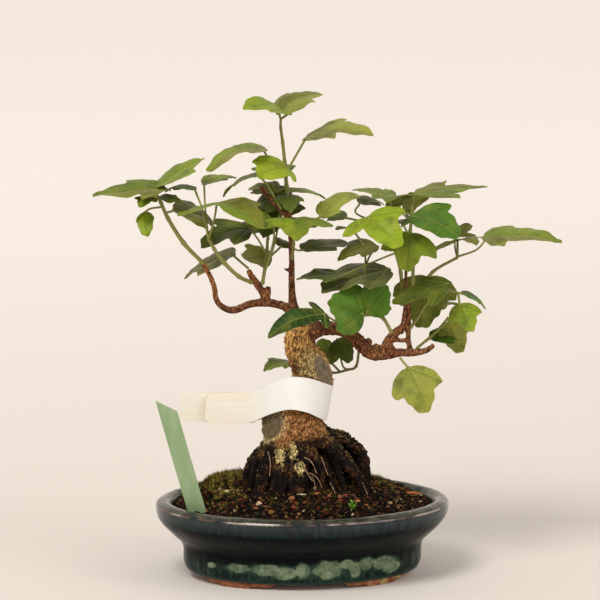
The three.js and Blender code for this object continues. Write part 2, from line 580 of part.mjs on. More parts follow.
const bandPath = [
  [-62.9, 1.3, 88.3, 0.4, 7.8], [-40, 1.2, 87.6, 0.3, 8], [-26.5, 1.6, 87.3, 0.3, 8.1],
  [-22.8, 6.8, 87.4, 0.3, 8.2], [-16.5, 13, 88, 0.3, 8.3], [-6, 16.3, 88.3, 0.4, 8.5],
  [3, 15.4, 88.5, 0.7, 8.6], [10, 11.6, 88.6, 1.1, 8.8], [13.4, 6, 88.8, 1.5, 9], [14, 0, 89, 1.7, 9],
  [12.6, -6.5, 90.3, 1.6, 9.1], [9, -11.8, 92.6, 1.2, 9.1], [1, -16.6, 96.5, 0.6, 8.8],
  [-8, -16.4, 97.7, 0.2, 8.4], [-16, -11.5, 94.6, 0, 8], [-21.4, -5.5, 90.9, 0, 7.8],
  [-26, -1.6, 88.3, 0, 8], [-36, -1.2, 87.3, 0.2, 8.3], [-50, -1.3, 87.2, 0.3, 8.4],
];

function bandSolid() {
  const steps = 45;
  const [low, high] = [-1, 1].map((way) => {
    const edge = bandPath.map(([x, y, z, lean, half]) => vec([x + way * lean, y, z + way * half]));
    return new THREE.CatmullRomCurve3(edge).getPoints(steps);
  });
  const rings = low.map((p, i) => {
    const ahead = low[Math.min(i + 1, steps)].clone().sub(low[Math.max(i - 1, 0)]);
    const out = ahead.cross(high[i].clone().sub(p)).setLength(bandThickness / 2);
    return [p.clone().add(out), p.clone().sub(out), high[i].clone().sub(out), high[i].clone().add(out)]
      .map((corner) => corner.toArray());
  });
  return skin(rings);
}

// The nodes

piece("pot", potSolid(), 0x1f3d3c, 0.35);
piece("drain_net_left", netSolid(-pot.drainAt), 0x2c2c2c, 0.7);
piece("drain_net_right", netSolid(pot.drainAt), 0x2c2c2c, 0.7);
piece("soil", soilSolid(), 0x2a1d16, 0.95);
piece("wood", woodSolid(), 0x8a6a4c, 0.85);
Object.entries(shoots).forEach(([name, shoot]) => piece(name, shootSolid(shoot), 0x4f7a1e, 0.5));
piece("name_stake", stakeSolid(), 0xb4dcae, 0.45);
piece("trunk_label", bandSolid(), 0xf2efe4, 0.45);

export default part;
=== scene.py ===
# %% [markdown]
# # A small trident maple bonsai in an oval glazed pot
#
# The real thing is a living tree about 25 cm tall: a thick, crooked little trunk on exposed roots, a few
# thin branches, and nearly seventy three-lobed leaves on green shoots. It stands in a shallow oval pot glazed
# in dark teal. Each lesson below makes one piece of it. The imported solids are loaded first, because they
# fix every place and size. The new pieces then take their place, and moss and litter are added.

# %% Load the frame
import math
import random

import bpy
import numpy as np
from mathutils import Matrix, Vector, noise


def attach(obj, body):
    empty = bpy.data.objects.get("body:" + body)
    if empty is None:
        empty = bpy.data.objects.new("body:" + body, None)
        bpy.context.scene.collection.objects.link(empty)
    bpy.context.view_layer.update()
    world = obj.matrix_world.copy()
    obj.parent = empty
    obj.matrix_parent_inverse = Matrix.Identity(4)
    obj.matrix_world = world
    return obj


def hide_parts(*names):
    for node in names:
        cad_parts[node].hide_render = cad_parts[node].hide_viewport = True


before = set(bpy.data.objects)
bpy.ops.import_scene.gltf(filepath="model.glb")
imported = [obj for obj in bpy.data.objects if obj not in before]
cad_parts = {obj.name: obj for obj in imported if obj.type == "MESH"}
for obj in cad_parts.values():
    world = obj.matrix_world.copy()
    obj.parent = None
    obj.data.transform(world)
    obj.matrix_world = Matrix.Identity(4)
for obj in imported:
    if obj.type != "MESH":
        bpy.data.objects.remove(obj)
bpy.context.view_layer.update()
mm = 0.001
pot_centre = Vector((-11.5, 0, 0))  # the tree is measured in mm from the middle of the pot


def place(x, y, z):
    """A point of the tree, in mm from the middle of the pot, as a place in the frame in metres."""
    return (Vector((x, y, z)) + pot_centre) * mm


# %% [markdown]
# ## Camera
#
# A picture of a bonsai is usually taken with a long lens from a little above the rim, so that the pot's
# oval shows and the tree isn't distorted. A wide lens close by would make the near leaves huge. So the
# camera stands almost three metres away, a little to the left, and looks slightly down.

# %% Set the camera
camera_data = bpy.data.cameras.new("camera")
camera_data.sensor_width = 36
camera_data.lens = 344
camera_data.clip_end = 20
camera = bpy.data.objects.new("camera", camera_data)
bpy.context.scene.collection.objects.link(camera)
camera.location = place(-275.8, -2864.7, 659.1)
camera.rotation_euler = (math.radians(90 - 10.17), 0, math.radians(-5.474))
bpy.context.scene.camera = camera
print("camera", round(camera.location.length, 2), "m away, lens", camera_data.lens, "mm")

# %% [markdown]
# ## Floor and light
#
# Glaze and leaves show their gloss only where they have something pale to reflect, so the studio is a
# warm off-white floor that runs up into a backdrop far behind, one large soft lamp above on the left, a
# weaker one on the right, and a pale sky all round. The floor is grown from one plane: its far edge is
# extruded up, and the fold is rounded with a bevel.

# %% Build the floor and the lamps
def clear_selection():
    """Deselects everything, because an operator acts on all that is selected."""
    if bpy.context.object and bpy.context.object.mode != "OBJECT":
        bpy.ops.object.mode_set(mode="OBJECT")
    bpy.ops.object.select_all(action="DESELECT")


clear_selection()
bpy.ops.mesh.primitive_plane_add(size=1)
floor = bpy.context.object
floor.name = "studio_floor"
bpy.ops.object.mode_set(mode="EDIT")
bpy.ops.transform.resize(value=(12, 9, 1))
bpy.ops.mesh.select_all(action="DESELECT")
bpy.ops.object.mode_set(mode="OBJECT")
for edge in floor.data.edges:
    edge.select = all(floor.data.vertices[v].co.y > 1 for v in edge.vertices)
bpy.ops.object.mode_set(mode="EDIT")
bpy.ops.mesh.select_mode(type="EDGE")
bpy.ops.mesh.extrude_region_move(TRANSFORM_OT_translate={"value": (0, 0, 4)})
bpy.ops.object.mode_set(mode="OBJECT")
for edge in floor.data.edges:
    ends = [floor.data.vertices[v].co for v in edge.vertices]
    edge.select = all(end.y > 1 and end.z < 0.1 for end in ends)
bpy.ops.object.mode_set(mode="EDIT")
bpy.ops.mesh.bevel(offset=1.6, segments=24)
bpy.ops.object.mode_set(mode="OBJECT")
bpy.ops.object.shade_smooth()


def lamp(name, where, size, power, colour):
    """A large soft lamp that looks at the middle of the tree."""
    data = bpy.data.lights.new(name, "AREA")
    data.shape = "DISK"
    data.size, data.energy, data.color = size, power, colour
    made = bpy.data.objects.new(name, data)
    bpy.context.scene.collection.objects.link(made)
    made.location = where
    aim = Vector((0, 0, 0.12)) - Vector(where)
    made.rotation_euler = aim.to_track_quat("-Z", "Y").to_euler()
    return made


lamp("key_lamp", (-0.9, -1.3, 1.9), 1.0, 33, (1.0, 0.97, 0.93))
lamp("fill_lamp", (1.5, -1.2, 1.1), 1.2, 10, (1.0, 0.97, 0.93))
world = bpy.data.worlds.new("pale_sky")
bpy.context.scene.world = world
world.use_nodes = True
world.node_tree.nodes["Background"].inputs["Color"].default_value = (1.0, 0.94, 0.88, 1)
world.node_tree.nodes["Background"].inputs["Strength"].default_value = 0.55
bpy.context.scene.view_settings.view_transform = "Standard"  # colours come out as mixed, as in a catalogue
print("floor faces:", len(floor.data.polygons))

# %% [markdown]
# ## Shader sums
#
# A finish is a little machine of nodes, and most of it is arithmetic. Wiring that by hand is slow to
# read, so one small class stands for a node's output and turns each sum into its Math nodes. A second
# class holds a material: it adds any other node from its type, its settings and its inputs.

# %% Define the shader classes
class Wire:
    """One output of a node. Sums on it add Math nodes."""

    def __init__(self, finish, socket):
        self.finish, self.socket = finish, socket

    def maths(self, operation, *values):
        """One Math node, fed with the values in their order."""
        return self.finish.node("ShaderNodeMath", {"operation": operation}, dict(enumerate(values)))

    def __add__(self, other):
        return self.maths("ADD", self, other)

    def __radd__(self, other):
        return self.maths("ADD", other, self)

    def __sub__(self, other):
        return self.maths("SUBTRACT", self, other)

    def __rsub__(self, other):
        return self.maths("SUBTRACT", other, self)

    def __mul__(self, other):
        return self.maths("MULTIPLY", self, other)

    def __rmul__(self, other):
        return self.maths("MULTIPLY", other, self)

    def __abs__(self):
        return self.maths("ABSOLUTE", self)

    def most(self, other):
        """The larger of the two."""
        return self.maths("MAXIMUM", self, other)

    def ramp(self, low, high):
        """0 below low, 1 above high, and a soft step between. High may be the lower of the two."""
        if high < low:
            return 1 - self.ramp(high, low)
        settings = {"interpolation_type": "SMOOTHSTEP"}
        inputs = {"Value": self, "From Min": low, "From Max": high}
        return self.finish.node("ShaderNodeMapRange", settings, inputs)


class Finish:
    """A material: its main shader, and a way to add nodes."""

    def __init__(self, name, **basics):
        self.material = bpy.data.materials.new(name)
        self.material.use_nodes = True
        self.tree = self.material.node_tree
        self.skin = self.tree.nodes["Principled BSDF"]
        for socket, value in basics.items():
            self.skin.inputs[socket.replace("_", " ")].default_value = value

    def node(self, kind, settings=None, inputs=None, output=0):
        """A node of this kind, with its settings first and then its inputs' values or links."""
        made = self.tree.nodes.new(kind)
        for name, value in (settings or {}).items():
            setattr(made, name, value)
        for name, value in (inputs or {}).items():
            self.feed(made.inputs[name], value)
        return Wire(self, made.outputs[output])

    def feed(self, socket, value):
        """Links a wire to an input, or sets the input's own value."""
        if isinstance(value, Wire):
            self.tree.links.new(value.socket, socket)
        elif hasattr(value, "__len__") and len(value) == 3 and socket.type == "RGBA":
            socket.default_value = (*value, 1)
        else:
            socket.default_value = value

    def set(self, **sockets):
        """Feeds the main shader's inputs, with _ for a space in a name."""
        for name, value in sockets.items():
            self.feed(self.skin.inputs[name.replace("_", " ")], value)

    def where(self):
        """The place on the piece in metres, in its own coordinates."""
        return self.node("ShaderNodeTexCoord", output="Object")

    def axis(self, letter):
        """One of the place's three numbers."""
        return self.node("ShaderNodeSeparateXYZ", None, {0: self.where()}, output="XYZ".index(letter))

    def stretch(self, scale):
        """The place with each axis scaled, for a grain that runs one way."""
        return self.node("ShaderNodeVectorMath", {"operation": "MULTIPLY"}, {0: self.where(), 1: scale})

    def cloud(self, scale, detail=3, rough=0.55, vector=None):
        """Soft noise from 0 to 1."""
        inputs = {"Vector": vector or self.where(), "Scale": scale, "Detail": detail, "Roughness": rough}
        return self.node("ShaderNodeTexNoise", None, inputs)

    def cells(self, scale, feature="F1"):
        """The distance in a field of cells, from each cell's middle or from its edge."""
        inputs = {"Vector": self.where(), "Scale": scale}
        return self.node("ShaderNodeTexVoronoi", {"feature": feature}, inputs, "Distance")

    def mix(self, low, high, share, blend="MIX"):
        """Between two colours, by a share from 0 to 1."""
        settings = {"data_type": "RGBA", "blend_type": blend}
        return self.node("ShaderNodeMix", settings, {0: share, 6: low, 7: high}, output=2)

    def bump(self, height, depth, strength=1.0):
        """Relief from a height of 0 to 1, with its depth in metres."""
        inputs = {"Height": height, "Distance": depth, "Strength": strength}
        self.set(Normal=self.node("ShaderNodeBump", None, inputs))


floor_finish = Finish("warm_paper", Roughness=0.9)
paper_tone = floor_finish.mix((0.76, 0.705, 0.65), (0.78, 0.725, 0.67), floor_finish.cloud(3))
# The far floor and the backdrop are painted paler, and the backdrop glows a little, as painted light from
# behind.
further_back = floor_finish.axis("Y").ramp(-0.3, 1.5)
paper_tone = floor_finish.mix(paper_tone, (0.87, 0.815, 0.765), further_back)
glow = floor_finish.mix((0, 0, 0), (1, 0.92, 0.86), further_back)  # the backdrop is lit from behind a little
floor_finish.set(Base_Color=paper_tone, Emission_Color=glow, Emission_Strength=0.27)
floor.data.materials.append(floor_finish.material)
print("finish:", floor_finish.material.name)

# %% [markdown]
# ## Pot
#
# The pot is shaped in clay with a foot ring, a belly, a waist and a thick rolled rim, all on one oval. So
# its shape is a stack of rings, and it is grown the way a potter pulls up a wall: one ring of edges is
# extruded to the next height and made wider or narrower, over the belly, round the rim and down the
# inside. A spin can't make it, because the plan isn't a circle.

# %% Grow shells of oval rings
def first_ring(name, ring, count):
    """A new oval ring of edges, given by half length, half width and height, left open in edit mode."""
    clear_selection()
    half_length, half_width, height = ring
    bpy.ops.mesh.primitive_circle_add(vertices=count, radius=1)
    made = bpy.context.object
    made.name = made.data.name = name
    bpy.ops.object.mode_set(mode="EDIT")
    bpy.ops.mesh.select_mode(type="VERT")
    bpy.ops.mesh.select_all(action="SELECT")
    bpy.ops.transform.resize(value=(half_length * mm, half_width * mm, 1), center_override=(0, 0, 0))
    bpy.ops.transform.translate(value=(0, 0, height * mm))
    return made


def pull_ring(ring, following):
    """Extrudes the selected ring to the next height, and widens or narrows it."""
    rise = {"value": (0, 0, (following[2] - ring[2]) * mm)}
    bpy.ops.mesh.extrude_region_move(TRANSFORM_OT_translate=rise)
    share = (following[0] / ring[0], following[1] / ring[1], 1)
    bpy.ops.transform.resize(value=share, center_override=(0, 0, following[2] * mm))


def pull_shell(name, rings, count):
    """A closed shell of oval rings, with a fan of faces over each end."""
    made = first_ring(name, rings[0], count)
    for ring, following in zip(rings, rings[1:]):
        pull_ring(ring, following)
    bpy.ops.mesh.select_all(action="SELECT")
    bpy.ops.mesh.fill_holes(sides=0)
    bpy.ops.mesh.select_mode(type="FACE")
    bpy.ops.mesh.select_face_by_sides(number=4, type="GREATER", extend=False)
    bpy.ops.mesh.poke()
    bpy.ops.mesh.select_all(action="SELECT")
    bpy.ops.mesh.normals_make_consistent(inside=False)
    bpy.ops.object.mode_set(mode="OBJECT")
    return made


narrowing = 17.5  # mm by which the half width is less than the half length, all the way up the wall
pot_profile = [  # half length and height, in mm, from under the foot over the rim to the floor inside
    (3, 2.6), (30, 2.6), (52, 2.8), (56.6, 2.7), (58, 3.1), (59.2, 4), (60.2, 5.4), (60.9, 7.2),
    (61.2, 9.4), (61.3, 11.8), (61.3, 14), (61.5, 16), (62.1, 17.8), (63.1, 19.3), (64.6, 20.7),
    (66.4, 22.3), (68.3, 24.1), (70.2, 25.9), (71.8, 27.6), (73.1, 29.3), (73.8, 30.5), (74.5, 31.7),
    (74.9, 33.2), (75.2, 34.6), (75.35, 36), (75.3, 37.2), (74.95, 38.1), (74.3, 38.8), (73.3, 39.4),
    (72.1, 39.85), (70.9, 40), (69.8, 39.85), (68.9, 39.4), (68.2, 38.8), (67.6, 38), (67.1, 37),
    (66.7, 35.8), (66.3, 34.2), (65.8, 31.6), (64.9, 28.4), (62.6, 24.3), (60, 20.2), (58.1, 17),
    (57, 13.6), (56, 10.8), (55, 9), (53.6, 7.8), (51, 7), (30, 7), (3, 7),
]


def half_width(half_length):
    """The half width of the oval with this half length, in mm. Near the middle the oval keeps its shape."""
    return half_length - narrowing if half_length > 45 else half_length * 0.6


pot = pull_shell("pot_body", [(a, half_width(a), z) for a, z in pot_profile], 176)
print("pot faces:", len(pot.data.polygons))

# %% [markdown]
# A pot for a tree needs holes to drain, one near each end. They are cut with a Boolean, as a hole cutter
# goes through soft clay. Each of the four low feet is a stretch of a flat ring under the belly: the ring
# is grown as above, all but the foot is deleted, and it gets its height from Solidify and its soft edges
# from Bevel. Its ends are drawn in below, which gives the cloud-like outline of the real foot.

# %% Cut the drain holes and add the feet
def apply_modifier(piece, kind, **settings):
    """Adds a modifier with its settings and applies it at once."""
    clear_selection()
    piece.select_set(True)
    bpy.context.view_layer.objects.active = piece
    bpy.ops.object.modifier_add(type=kind)
    added = piece.modifiers[-1]
    for name, value in settings.items():
        setattr(added, name, value)
    bpy.ops.object.modifier_apply(modifier=added.name)


hole_radius, hole_away = 6, 26  # mm, and the way from the pot's middle to each hole's
for side in (-1, 1):
    clear_selection()
    middle = (side * hole_away * mm, 0, 5 * mm)
    bpy.ops.mesh.primitive_cylinder_add(vertices=40, radius=hole_radius * mm, depth=12 * mm, location=middle)
    cutter = bpy.context.object
    apply_modifier(pot, "BOOLEAN", operation="DIFFERENCE", object=cutter, solver="EXACT")
    bpy.data.objects.remove(cutter)

foot_outside, foot_inside = (57.2, 39.9, 3.6), (52.4, 35.1, 3.6)  # half length, half width and height, mm
foot_half_turn, deep_half_turn = 25, 13  # degrees to a foot's end, and to the end of its deeper middle


def oval_turn(point):
    """A vertex's angle round the pot's oval, in degrees, and its share of the feet's outer edge."""
    x, y = point.x / (foot_outside[0] * mm), point.y / (foot_outside[1] * mm)
    return math.degrees(math.atan2(y, x)), math.hypot(x, y)


def off_from(middle, turn):
    """The way from one angle to another in degrees, from -180 to 180."""
    return (turn - middle + 180) % 360 - 180


feet = []
for number, middle in enumerate((228, 312, 48, 132)):
    foot = first_ring(f"foot_{number}", foot_outside, 240)
    pull_ring(foot_outside, foot_inside)
    bpy.ops.object.mode_set(mode="OBJECT")
    for face in foot.data.polygons:
        face.select = abs(off_from(middle, oval_turn(face.center)[0])) > foot_half_turn
    bpy.ops.object.mode_set(mode="EDIT")
    bpy.ops.mesh.select_mode(type="FACE")
    bpy.ops.mesh.delete(type="FACE")
    bpy.ops.object.mode_set(mode="OBJECT")
    upward = foot.data.polygons[0].normal.z > 0
    apply_modifier(foot, "SOLIDIFY", thickness=foot_outside[2] * mm, offset=-1 if upward else 1)
    for point in foot.data.vertices:
        turn, reach = oval_turn(point.co)
        if point.co.z < 1 * mm:
            drawn = math.radians(middle + 0.8 * off_from(middle, turn))
            point.co.x = foot_outside[0] * mm * reach * 0.985 * math.cos(drawn)
            point.co.y = foot_outside[1] * mm * reach * 0.985 * math.sin(drawn)
            if abs(off_from(middle, turn)) > deep_half_turn:
                point.co.z += 1.1 * mm
    apply_modifier(foot, "BEVEL", width=0.5 * mm, segments=2, limit_method="ANGLE")
    feet.append(foot)
print("feet:", [len(foot.data.polygons) for foot in feet])

# %% [markdown]
# Clay shaped by hand is never quite even, and glaze lies thick in one place and thin in another. So the
# wall gets one subdivision, and every vertex moves a little along its normal by a slow noise. Then the
# feet join the pot, and the whole moves to its place.

# %% Make the wall a little uneven and join the feet
def join_into(piece, others):
    """Joins the others into the piece."""
    clear_selection()
    for other in (*others, piece):
        other.select_set(True)
    bpy.context.view_layer.objects.active = piece
    bpy.ops.object.join()


def push(piece, depth):
    """Moves each vertex along its normal by depth(place in mm, normal) mm."""
    normals = [point.normal.copy() for point in piece.data.vertices]
    for point, normal in zip(piece.data.vertices, normals):
        point.co += normal * depth(point.co / mm, normal) * mm


apply_modifier(pot, "SUBSURF", levels=1, render_levels=1)
push(pot, lambda at, normal: 0.28 * noise.noise(at * 0.06) + 0.12 * noise.noise(at * 0.25))
glazed_faces = len(pot.data.polygons)
join_into(pot, feet)
pot.data.transform(Matrix.Translation(pot_centre * mm))
clear_selection()
pot.select_set(True)
bpy.context.view_layer.objects.active = pot
bpy.ops.object.shade_smooth_by_angle(angle=math.radians(50))
print("pot triangles:", sum(len(face.vertices) - 2 for face in pot.data.polygons))

# %% [markdown]
# The glaze is dark teal. In the waist it is painted nearly black, as painted shade under the band and a
# painted dark reflection. Where it runs thin over the rim it breaks to a brownish line with a thin painted
# highlight along it, and on top it goes matt and grey-green. On the belly a second, pale green glaze has
# pooled into rounded blots. All of this follows the wall, not the height, because the wall turns over at
# the rim. So every vertex learns how far along the wall's profile it lies, and how deep it lies in a blot,
# and the finish reads both as attributes.

# %% Measure the wall
def spread_attribute(mesh, name, values):
    """Keeps one number for each vertex in an attribute."""
    mesh.attributes.new(name, "FLOAT", "POINT").data.foreach_set("value", np.array(values, np.float32))


def half_length_at(x, y):
    """The half length of the oval of the wall that runs through x and y, in mm."""
    low, high = 18.0, 90.0
    for _ in range(22):
        middle = (low + high) / 2
        inside = (x / middle) ** 2 + (y / (middle - narrowing)) ** 2 < 1
        low, high = (low, middle) if inside else (middle, high)
    return middle


wall = [Vector((a, z, 0)) for a, z in pot_profile[3:-2]]
stations = [0.0]
for one, following in zip(wall, wall[1:]):
    stations.append(stations[-1] + (following - one).length)
blots = [  # x and height of its middle, half length and half height, in mm, and its side: -1 is the front
    (-36, 11.4, 6.6, 2.8, -1), (-22, 11.4, 8.4, 3.6, -1), (-13.5, 10.2, 7, 4.2, -1),
    (-4, 11.6, 4, 4.8, -1), (9, 11.6, 7.6, 5.6, -1), (18.7, 14, 3.4, 3, -1), (23, 10.8, 3.4, 5.2, -1),
    (29, 13.6, 3.8, 4, -1), (38.5, 12.8, 7, 4.4, -1), (42.5, 10.2, 5, 4, -1),
    (-49, 11.5, 2.2, 1.8, -1), (-40, 11, 6, 3.4, 1), (-27, 12.6, 3, 2, 1), (-14, 10.4, 7.5, 3.8, 1),
    (2, 12.4, 3, 2.2, 1), (13, 10.6, 6, 3, 1), (31, 11.4, 5, 3.6, 1), (45, 12.6, 2.6, 2, 1),
]


def climb_at(at, k):
    """How far along the wall a point lies, given the wall's nearest point k, in mm."""
    if k in (0, len(wall) - 1):
        return stations[k]
    return stations[k] + (at - wall[k]).dot((wall[k + 1] - wall[k - 1]).normalized())


climbs, pools = [], []
for point in pot.data.vertices:
    x, y, z = point.co / mm - pot_centre
    at = Vector((half_length_at(x, y), z, 0)) if math.hypot(x, y) > 30 else Vector((51, z, 0))
    k = min(range(len(wall)), key=lambda number: (wall[number] - at).length_squared)
    climbs.append(climb_at(at, k))
    depths = [1 - math.hypot((x - cx) / length, (z - cz) / (tall if z < cz else tall * 0.8))
              for cx, cz, length, tall, side in blots if y * side > 0]
    pools.append(max([*depths, -3]) if k < len(wall) // 2 else -3)
spread_attribute(pot.data, "climb", climbs)
spread_attribute(pot.data, "pool", pools)
crest = stations[max(range(len(wall)), key=lambda k: wall[k].y)]
print("wall:", round(stations[-1], 1), "mm from the foot to the floor, its crest at", round(crest, 1))

# %% Paint the glaze
def srgb(red, green, blue):
    """A colour as a screen shows it, 0 to 255, in the linear numbers that shaders use."""
    shares = [value / 255 for value in (red, green, blue)]
    return tuple(((share + 0.055) / 1.055) ** 2.4 if share > 0.04 else share / 12.92 for share in shares)


def station(half_length, z):
    """How far along the wall the point of the profile nearest to this half length and height lies."""
    return stations[min(range(len(wall)), key=lambda k: (wall[k] - Vector((half_length, z, 0))).length)]


glaze = Finish("teal_glaze", Roughness=0.25, Specular_IOR_Level=0.06, Coat_Weight=0.3, Coat_Roughness=0.1)
climb = glaze.node("ShaderNodeAttribute", {"attribute_name": "climb"}, output=2)
pool = glaze.node("ShaderNodeAttribute", {"attribute_name": "pool"}, output=2)
blotch = glaze.cloud(60, 4, 0.6)
streak = glaze.cloud(1, 4, 0.6, glaze.stretch((520, 520, 60)))
fine = glaze.cloud(900, 3, 0.6)
crackle = glaze.cells(700, "DISTANCE_TO_EDGE").ramp(0.05, 0.0)
belly_top, band_low, band_top = station(61.3, 14), station(73.8, 30.5), station(75.3, 37.2)
# The waist is painted nearly black, as painted shade under the band and a painted dark reflection.
waist_shade = glaze.mix(srgb(5, 9, 10), srgb(14, 22, 22), blotch.ramp(0.42, 0.7))
belly = glaze.mix(srgb(18, 32, 30), srgb(58, 80, 68), streak.ramp(0.4, 0.72))
body = glaze.mix(waist_shade, belly, climb.ramp(belly_top + 3, belly_top - 5) * 0.75)
body = glaze.mix(body, srgb(34, 66, 58), climb.ramp(station(60.2, 5.4) + 1, station(58, 3.1)) * 0.8)
band = glaze.mix(srgb(10, 20, 28), srgb(38, 56, 60), streak.ramp(0.38, 0.72) * 0.8)
band = glaze.mix(band, srgb(16, 42, 36), blotch.ramp(0.45, 0.65) * 0.6)
body = glaze.mix(body, band, climb.ramp(band_low - 0.8, band_low + 1.4))
ragged = glaze.cloud(230, 4, 0.6) * 0.9 + streak * 0.16
in_pool = (pool + ragged).ramp(0.55, 0.62)
celadon = glaze.mix(srgb(76, 98, 76), srgb(148, 162, 128), glaze.cloud(170, 4, 0.65).ramp(0.35, 0.68))
celadon = glaze.mix(celadon, srgb(152, 168, 142), crackle * 0.6)
body = glaze.mix(body, srgb(46, 70, 56), (pool + ragged).ramp(0.26, 0.54) * (1 - in_pool) * 0.75)
celadon = glaze.mix(celadon, srgb(52, 78, 62), (pool + ragged).ramp(0.74, 0.6) * 0.7)
body = glaze.mix(body, celadon, in_pool * 0.75)
top = climb.ramp(band_top + 0.9, band_top + 1.7)
top_colour = glaze.mix(srgb(32, 34, 27), srgb(82, 84, 66), glaze.cloud(130, 4).ramp(0.38, 0.7))
top_colour = glaze.mix(top_colour, srgb(136, 124, 98), glaze.cloud(420, 3).ramp(0.62, 0.72) * 0.45)
body = glaze.mix(body, top_colour, top * 0.9)
line = climb.ramp(band_top - 0.2, band_top + 0.5) * climb.ramp(band_top + 1.5, band_top + 0.8)
body = glaze.mix(body, srgb(112, 78, 70), line * glaze.cloud(150, 3).ramp(0.34, 0.6) * 0.8)
# A thin pale glint along the break line is a painted highlight.
painted_glint = line * glaze.cloud(34, 2).ramp(0.5, 0.6) * fine.ramp(0.3, 0.5) * 0.7
body = glaze.mix(body, srgb(196, 180, 168), painted_glint)
inside = climb.ramp(crest + 5, crest + 9)
body = glaze.mix(body, srgb(36, 38, 34), inside)
glaze.set(Base_Color=body, Roughness=0.15 + top * 0.2 + in_pool * 0.08 + fine * 0.1 + inside * 0.4,
          Coat_Weight=climb.ramp(band_low - 1, band_top) * 0.9)
glaze.bump(blotch * 0.5 + fine * 0.12 + in_pool * 0.5 + line * 0.3, 0.0006, 0.6)

clay = Finish("raw_clay", Roughness=0.9)
grit = clay.cloud(1500, 4, 0.7)
pale_side = clay.axis("X").ramp(0.0, 0.03)
clay_colour = clay.mix(srgb(120, 64, 40), srgb(178, 112, 76), clay.cloud(240, 4).ramp(0.3, 0.7))
clay_colour = clay.mix(clay_colour, srgb(184, 160, 96), pale_side * clay.cloud(230, 3).ramp(0.45, 0.6))
clay.set(Base_Color=clay.mix(clay_colour, srgb(84, 52, 36), grit.ramp(0.62, 0.72) * 0.5))
clay.bump(grit, 0.0003, 0.8)


def wear(piece, slot, *finishes):
    """Gives a piece its finishes. The slot is not used."""
    piece.data.materials.clear()
    for finish in finishes:
        piece.data.materials.append(finish.material)


def stand_for(piece, *nodes):
    """The piece rides on the part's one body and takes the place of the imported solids."""
    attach(piece, "root")
    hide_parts(*nodes)


wear(pot, "glaze", glaze, clay)
for number, face in enumerate(pot.data.polygons):
    face.material_index = int(number >= glazed_faces or face.center.z < 2.95 * mm)
stand_for(pot, "pot")

# %% [markdown]
# ## Drain nets
#
# Each hole is covered by a square of black plastic net, so that the soil stays in. One grid of faces
# turns into a net with the Wireframe modifier, which keeps the edges as bars and drops the faces.

# %% Make the two nets
net_plastic = Finish("black_net", Roughness=0.6)
net_plastic.set(Base_Color=net_plastic.mix(srgb(26, 27, 28), srgb(52, 50, 46), net_plastic.cloud(700, 3)))
net_plastic.bump(net_plastic.cloud(3000, 2), 0.0001, 0.5)
for side, name in ((-1, "drain_net_left"), (1, "drain_net_right")):
    clear_selection()
    bpy.ops.mesh.primitive_grid_add(x_subdivisions=7, y_subdivisions=7, size=16.2 * mm)
    net = bpy.context.object
    net.name = net.data.name = f"{name}_mesh"
    apply_modifier(net, "WIREFRAME", thickness=0.8 * mm)
    net.data.transform(Matrix.Translation(place(side * hole_away, 0, 7.7)))
    wear(net, "net", net_plastic)
    stand_for(net, name)
print("net faces:", len(net.data.polygons))

# %% [markdown]
# ## Soil
#
# The soil is a mound of small clay crumbs and rotted bark, heaped up against the roots and higher on the
# left, where moss and litter have gathered. A bump in the finish would leave its skyline smooth. So the
# mound is a closed shell with its top lifted to a measured height, and crumbs are strewn over it.

# %% Heap up the mound
heaps = [(-44, 6, 22, 20, 7), (42, 4, 18, 18, 2.6)]  # x, y, half length, half width, height


def soil_height(x, y):
    """The top of the soil in mm, at x and y from the middle of the pot."""
    share = min((x / 66.4) ** 2 + (y / 48.9) ** 2, 1)
    bumps = 0.5 * math.sin(0.31 * x + 1) * math.cos(0.37 * y) + 0.35 * math.sin(0.6 * x - 0.5 * y)
    heaped = sum(rise * math.exp(-(((x - cx) / a) ** 2) - ((y - cy) / b) ** 2)
                 for cx, cy, a, b, rise in heaps)
    return 35.4 + 14.6 * (1 - share) ** 0.85 + bumps * (1 - share) + heaped * (1 - share) ** 0.25


soil_wall = [(4, 8.6), (30, 8.6), (50, 8.6), (53.6, 9.4), (55.8, 13), (57.6, 17), (60.8, 22.4), (63.6, 27),
             (65.1, 31.6), (65.7, 34.2)]
soil_rings = [(a, half_width(a), z) for a, z in soil_wall]
soil_rings += [(a, a * 0.735, 35) for a in np.linspace(65.6, 2.5, 36)]
soil = pull_shell("soil_mound", soil_rings, 150)
for point in soil.data.vertices:
    x, y = point.co.x / mm, point.co.y / mm
    if point.co.z > 34.8 * mm:
        point.co.z = (soil_height(x, y) - 0.5 + 0.5 * noise.noise(Vector((x, y, 7)) * 0.5)) * mm
print("soil faces:", len(soil.data.polygons))

# %% [markdown]
# The crumbs repeat thousands of times, so each kind is modelled once from the smallest ball, knocked
# about until it looks broken, and stamped all over with its own turn, size and colour. The colour is kept
# as an attribute of the mesh, so one finish serves them all.

# %% Stamp shapes over a surface
chance = random.Random(11)


def paint_points(mesh, colours):
    """Keeps one colour for each vertex in the attribute tint."""
    layer = mesh.attributes.new("tint", "FLOAT_COLOR", "POINT")
    flat = np.ones((len(mesh.vertices), 4), np.float32)
    flat[:, :3] = colours
    layer.data.foreach_set("color", flat.ravel())


def stamp(name, shapes, copies):
    """One mesh of many copies. A copy is (number of the shape, matrix in metres, colour)."""
    points, faces, colours = [], [], []
    for which, matrix, colour in copies:
        corners, sides = shapes[which]
        start = len(points)
        points += [matrix @ corner for corner in corners]
        faces += [[start + i for i in face] for face in sides]
        colours += [colour] * len(corners)
    mesh = bpy.data.meshes.new(name)
    mesh.from_pydata(points, [], faces)
    paint_points(mesh, colours)
    made = bpy.data.objects.new(name, mesh)
    bpy.context.scene.collection.objects.link(made)
    return made


def take_shape(piece):
    """The corners and faces of a modelled shape, which is then cleared away."""
    corners = [point.co.copy() for point in piece.data.vertices]
    sides = [list(face.vertices) for face in piece.data.polygons]
    bpy.data.objects.remove(piece)
    return corners, sides


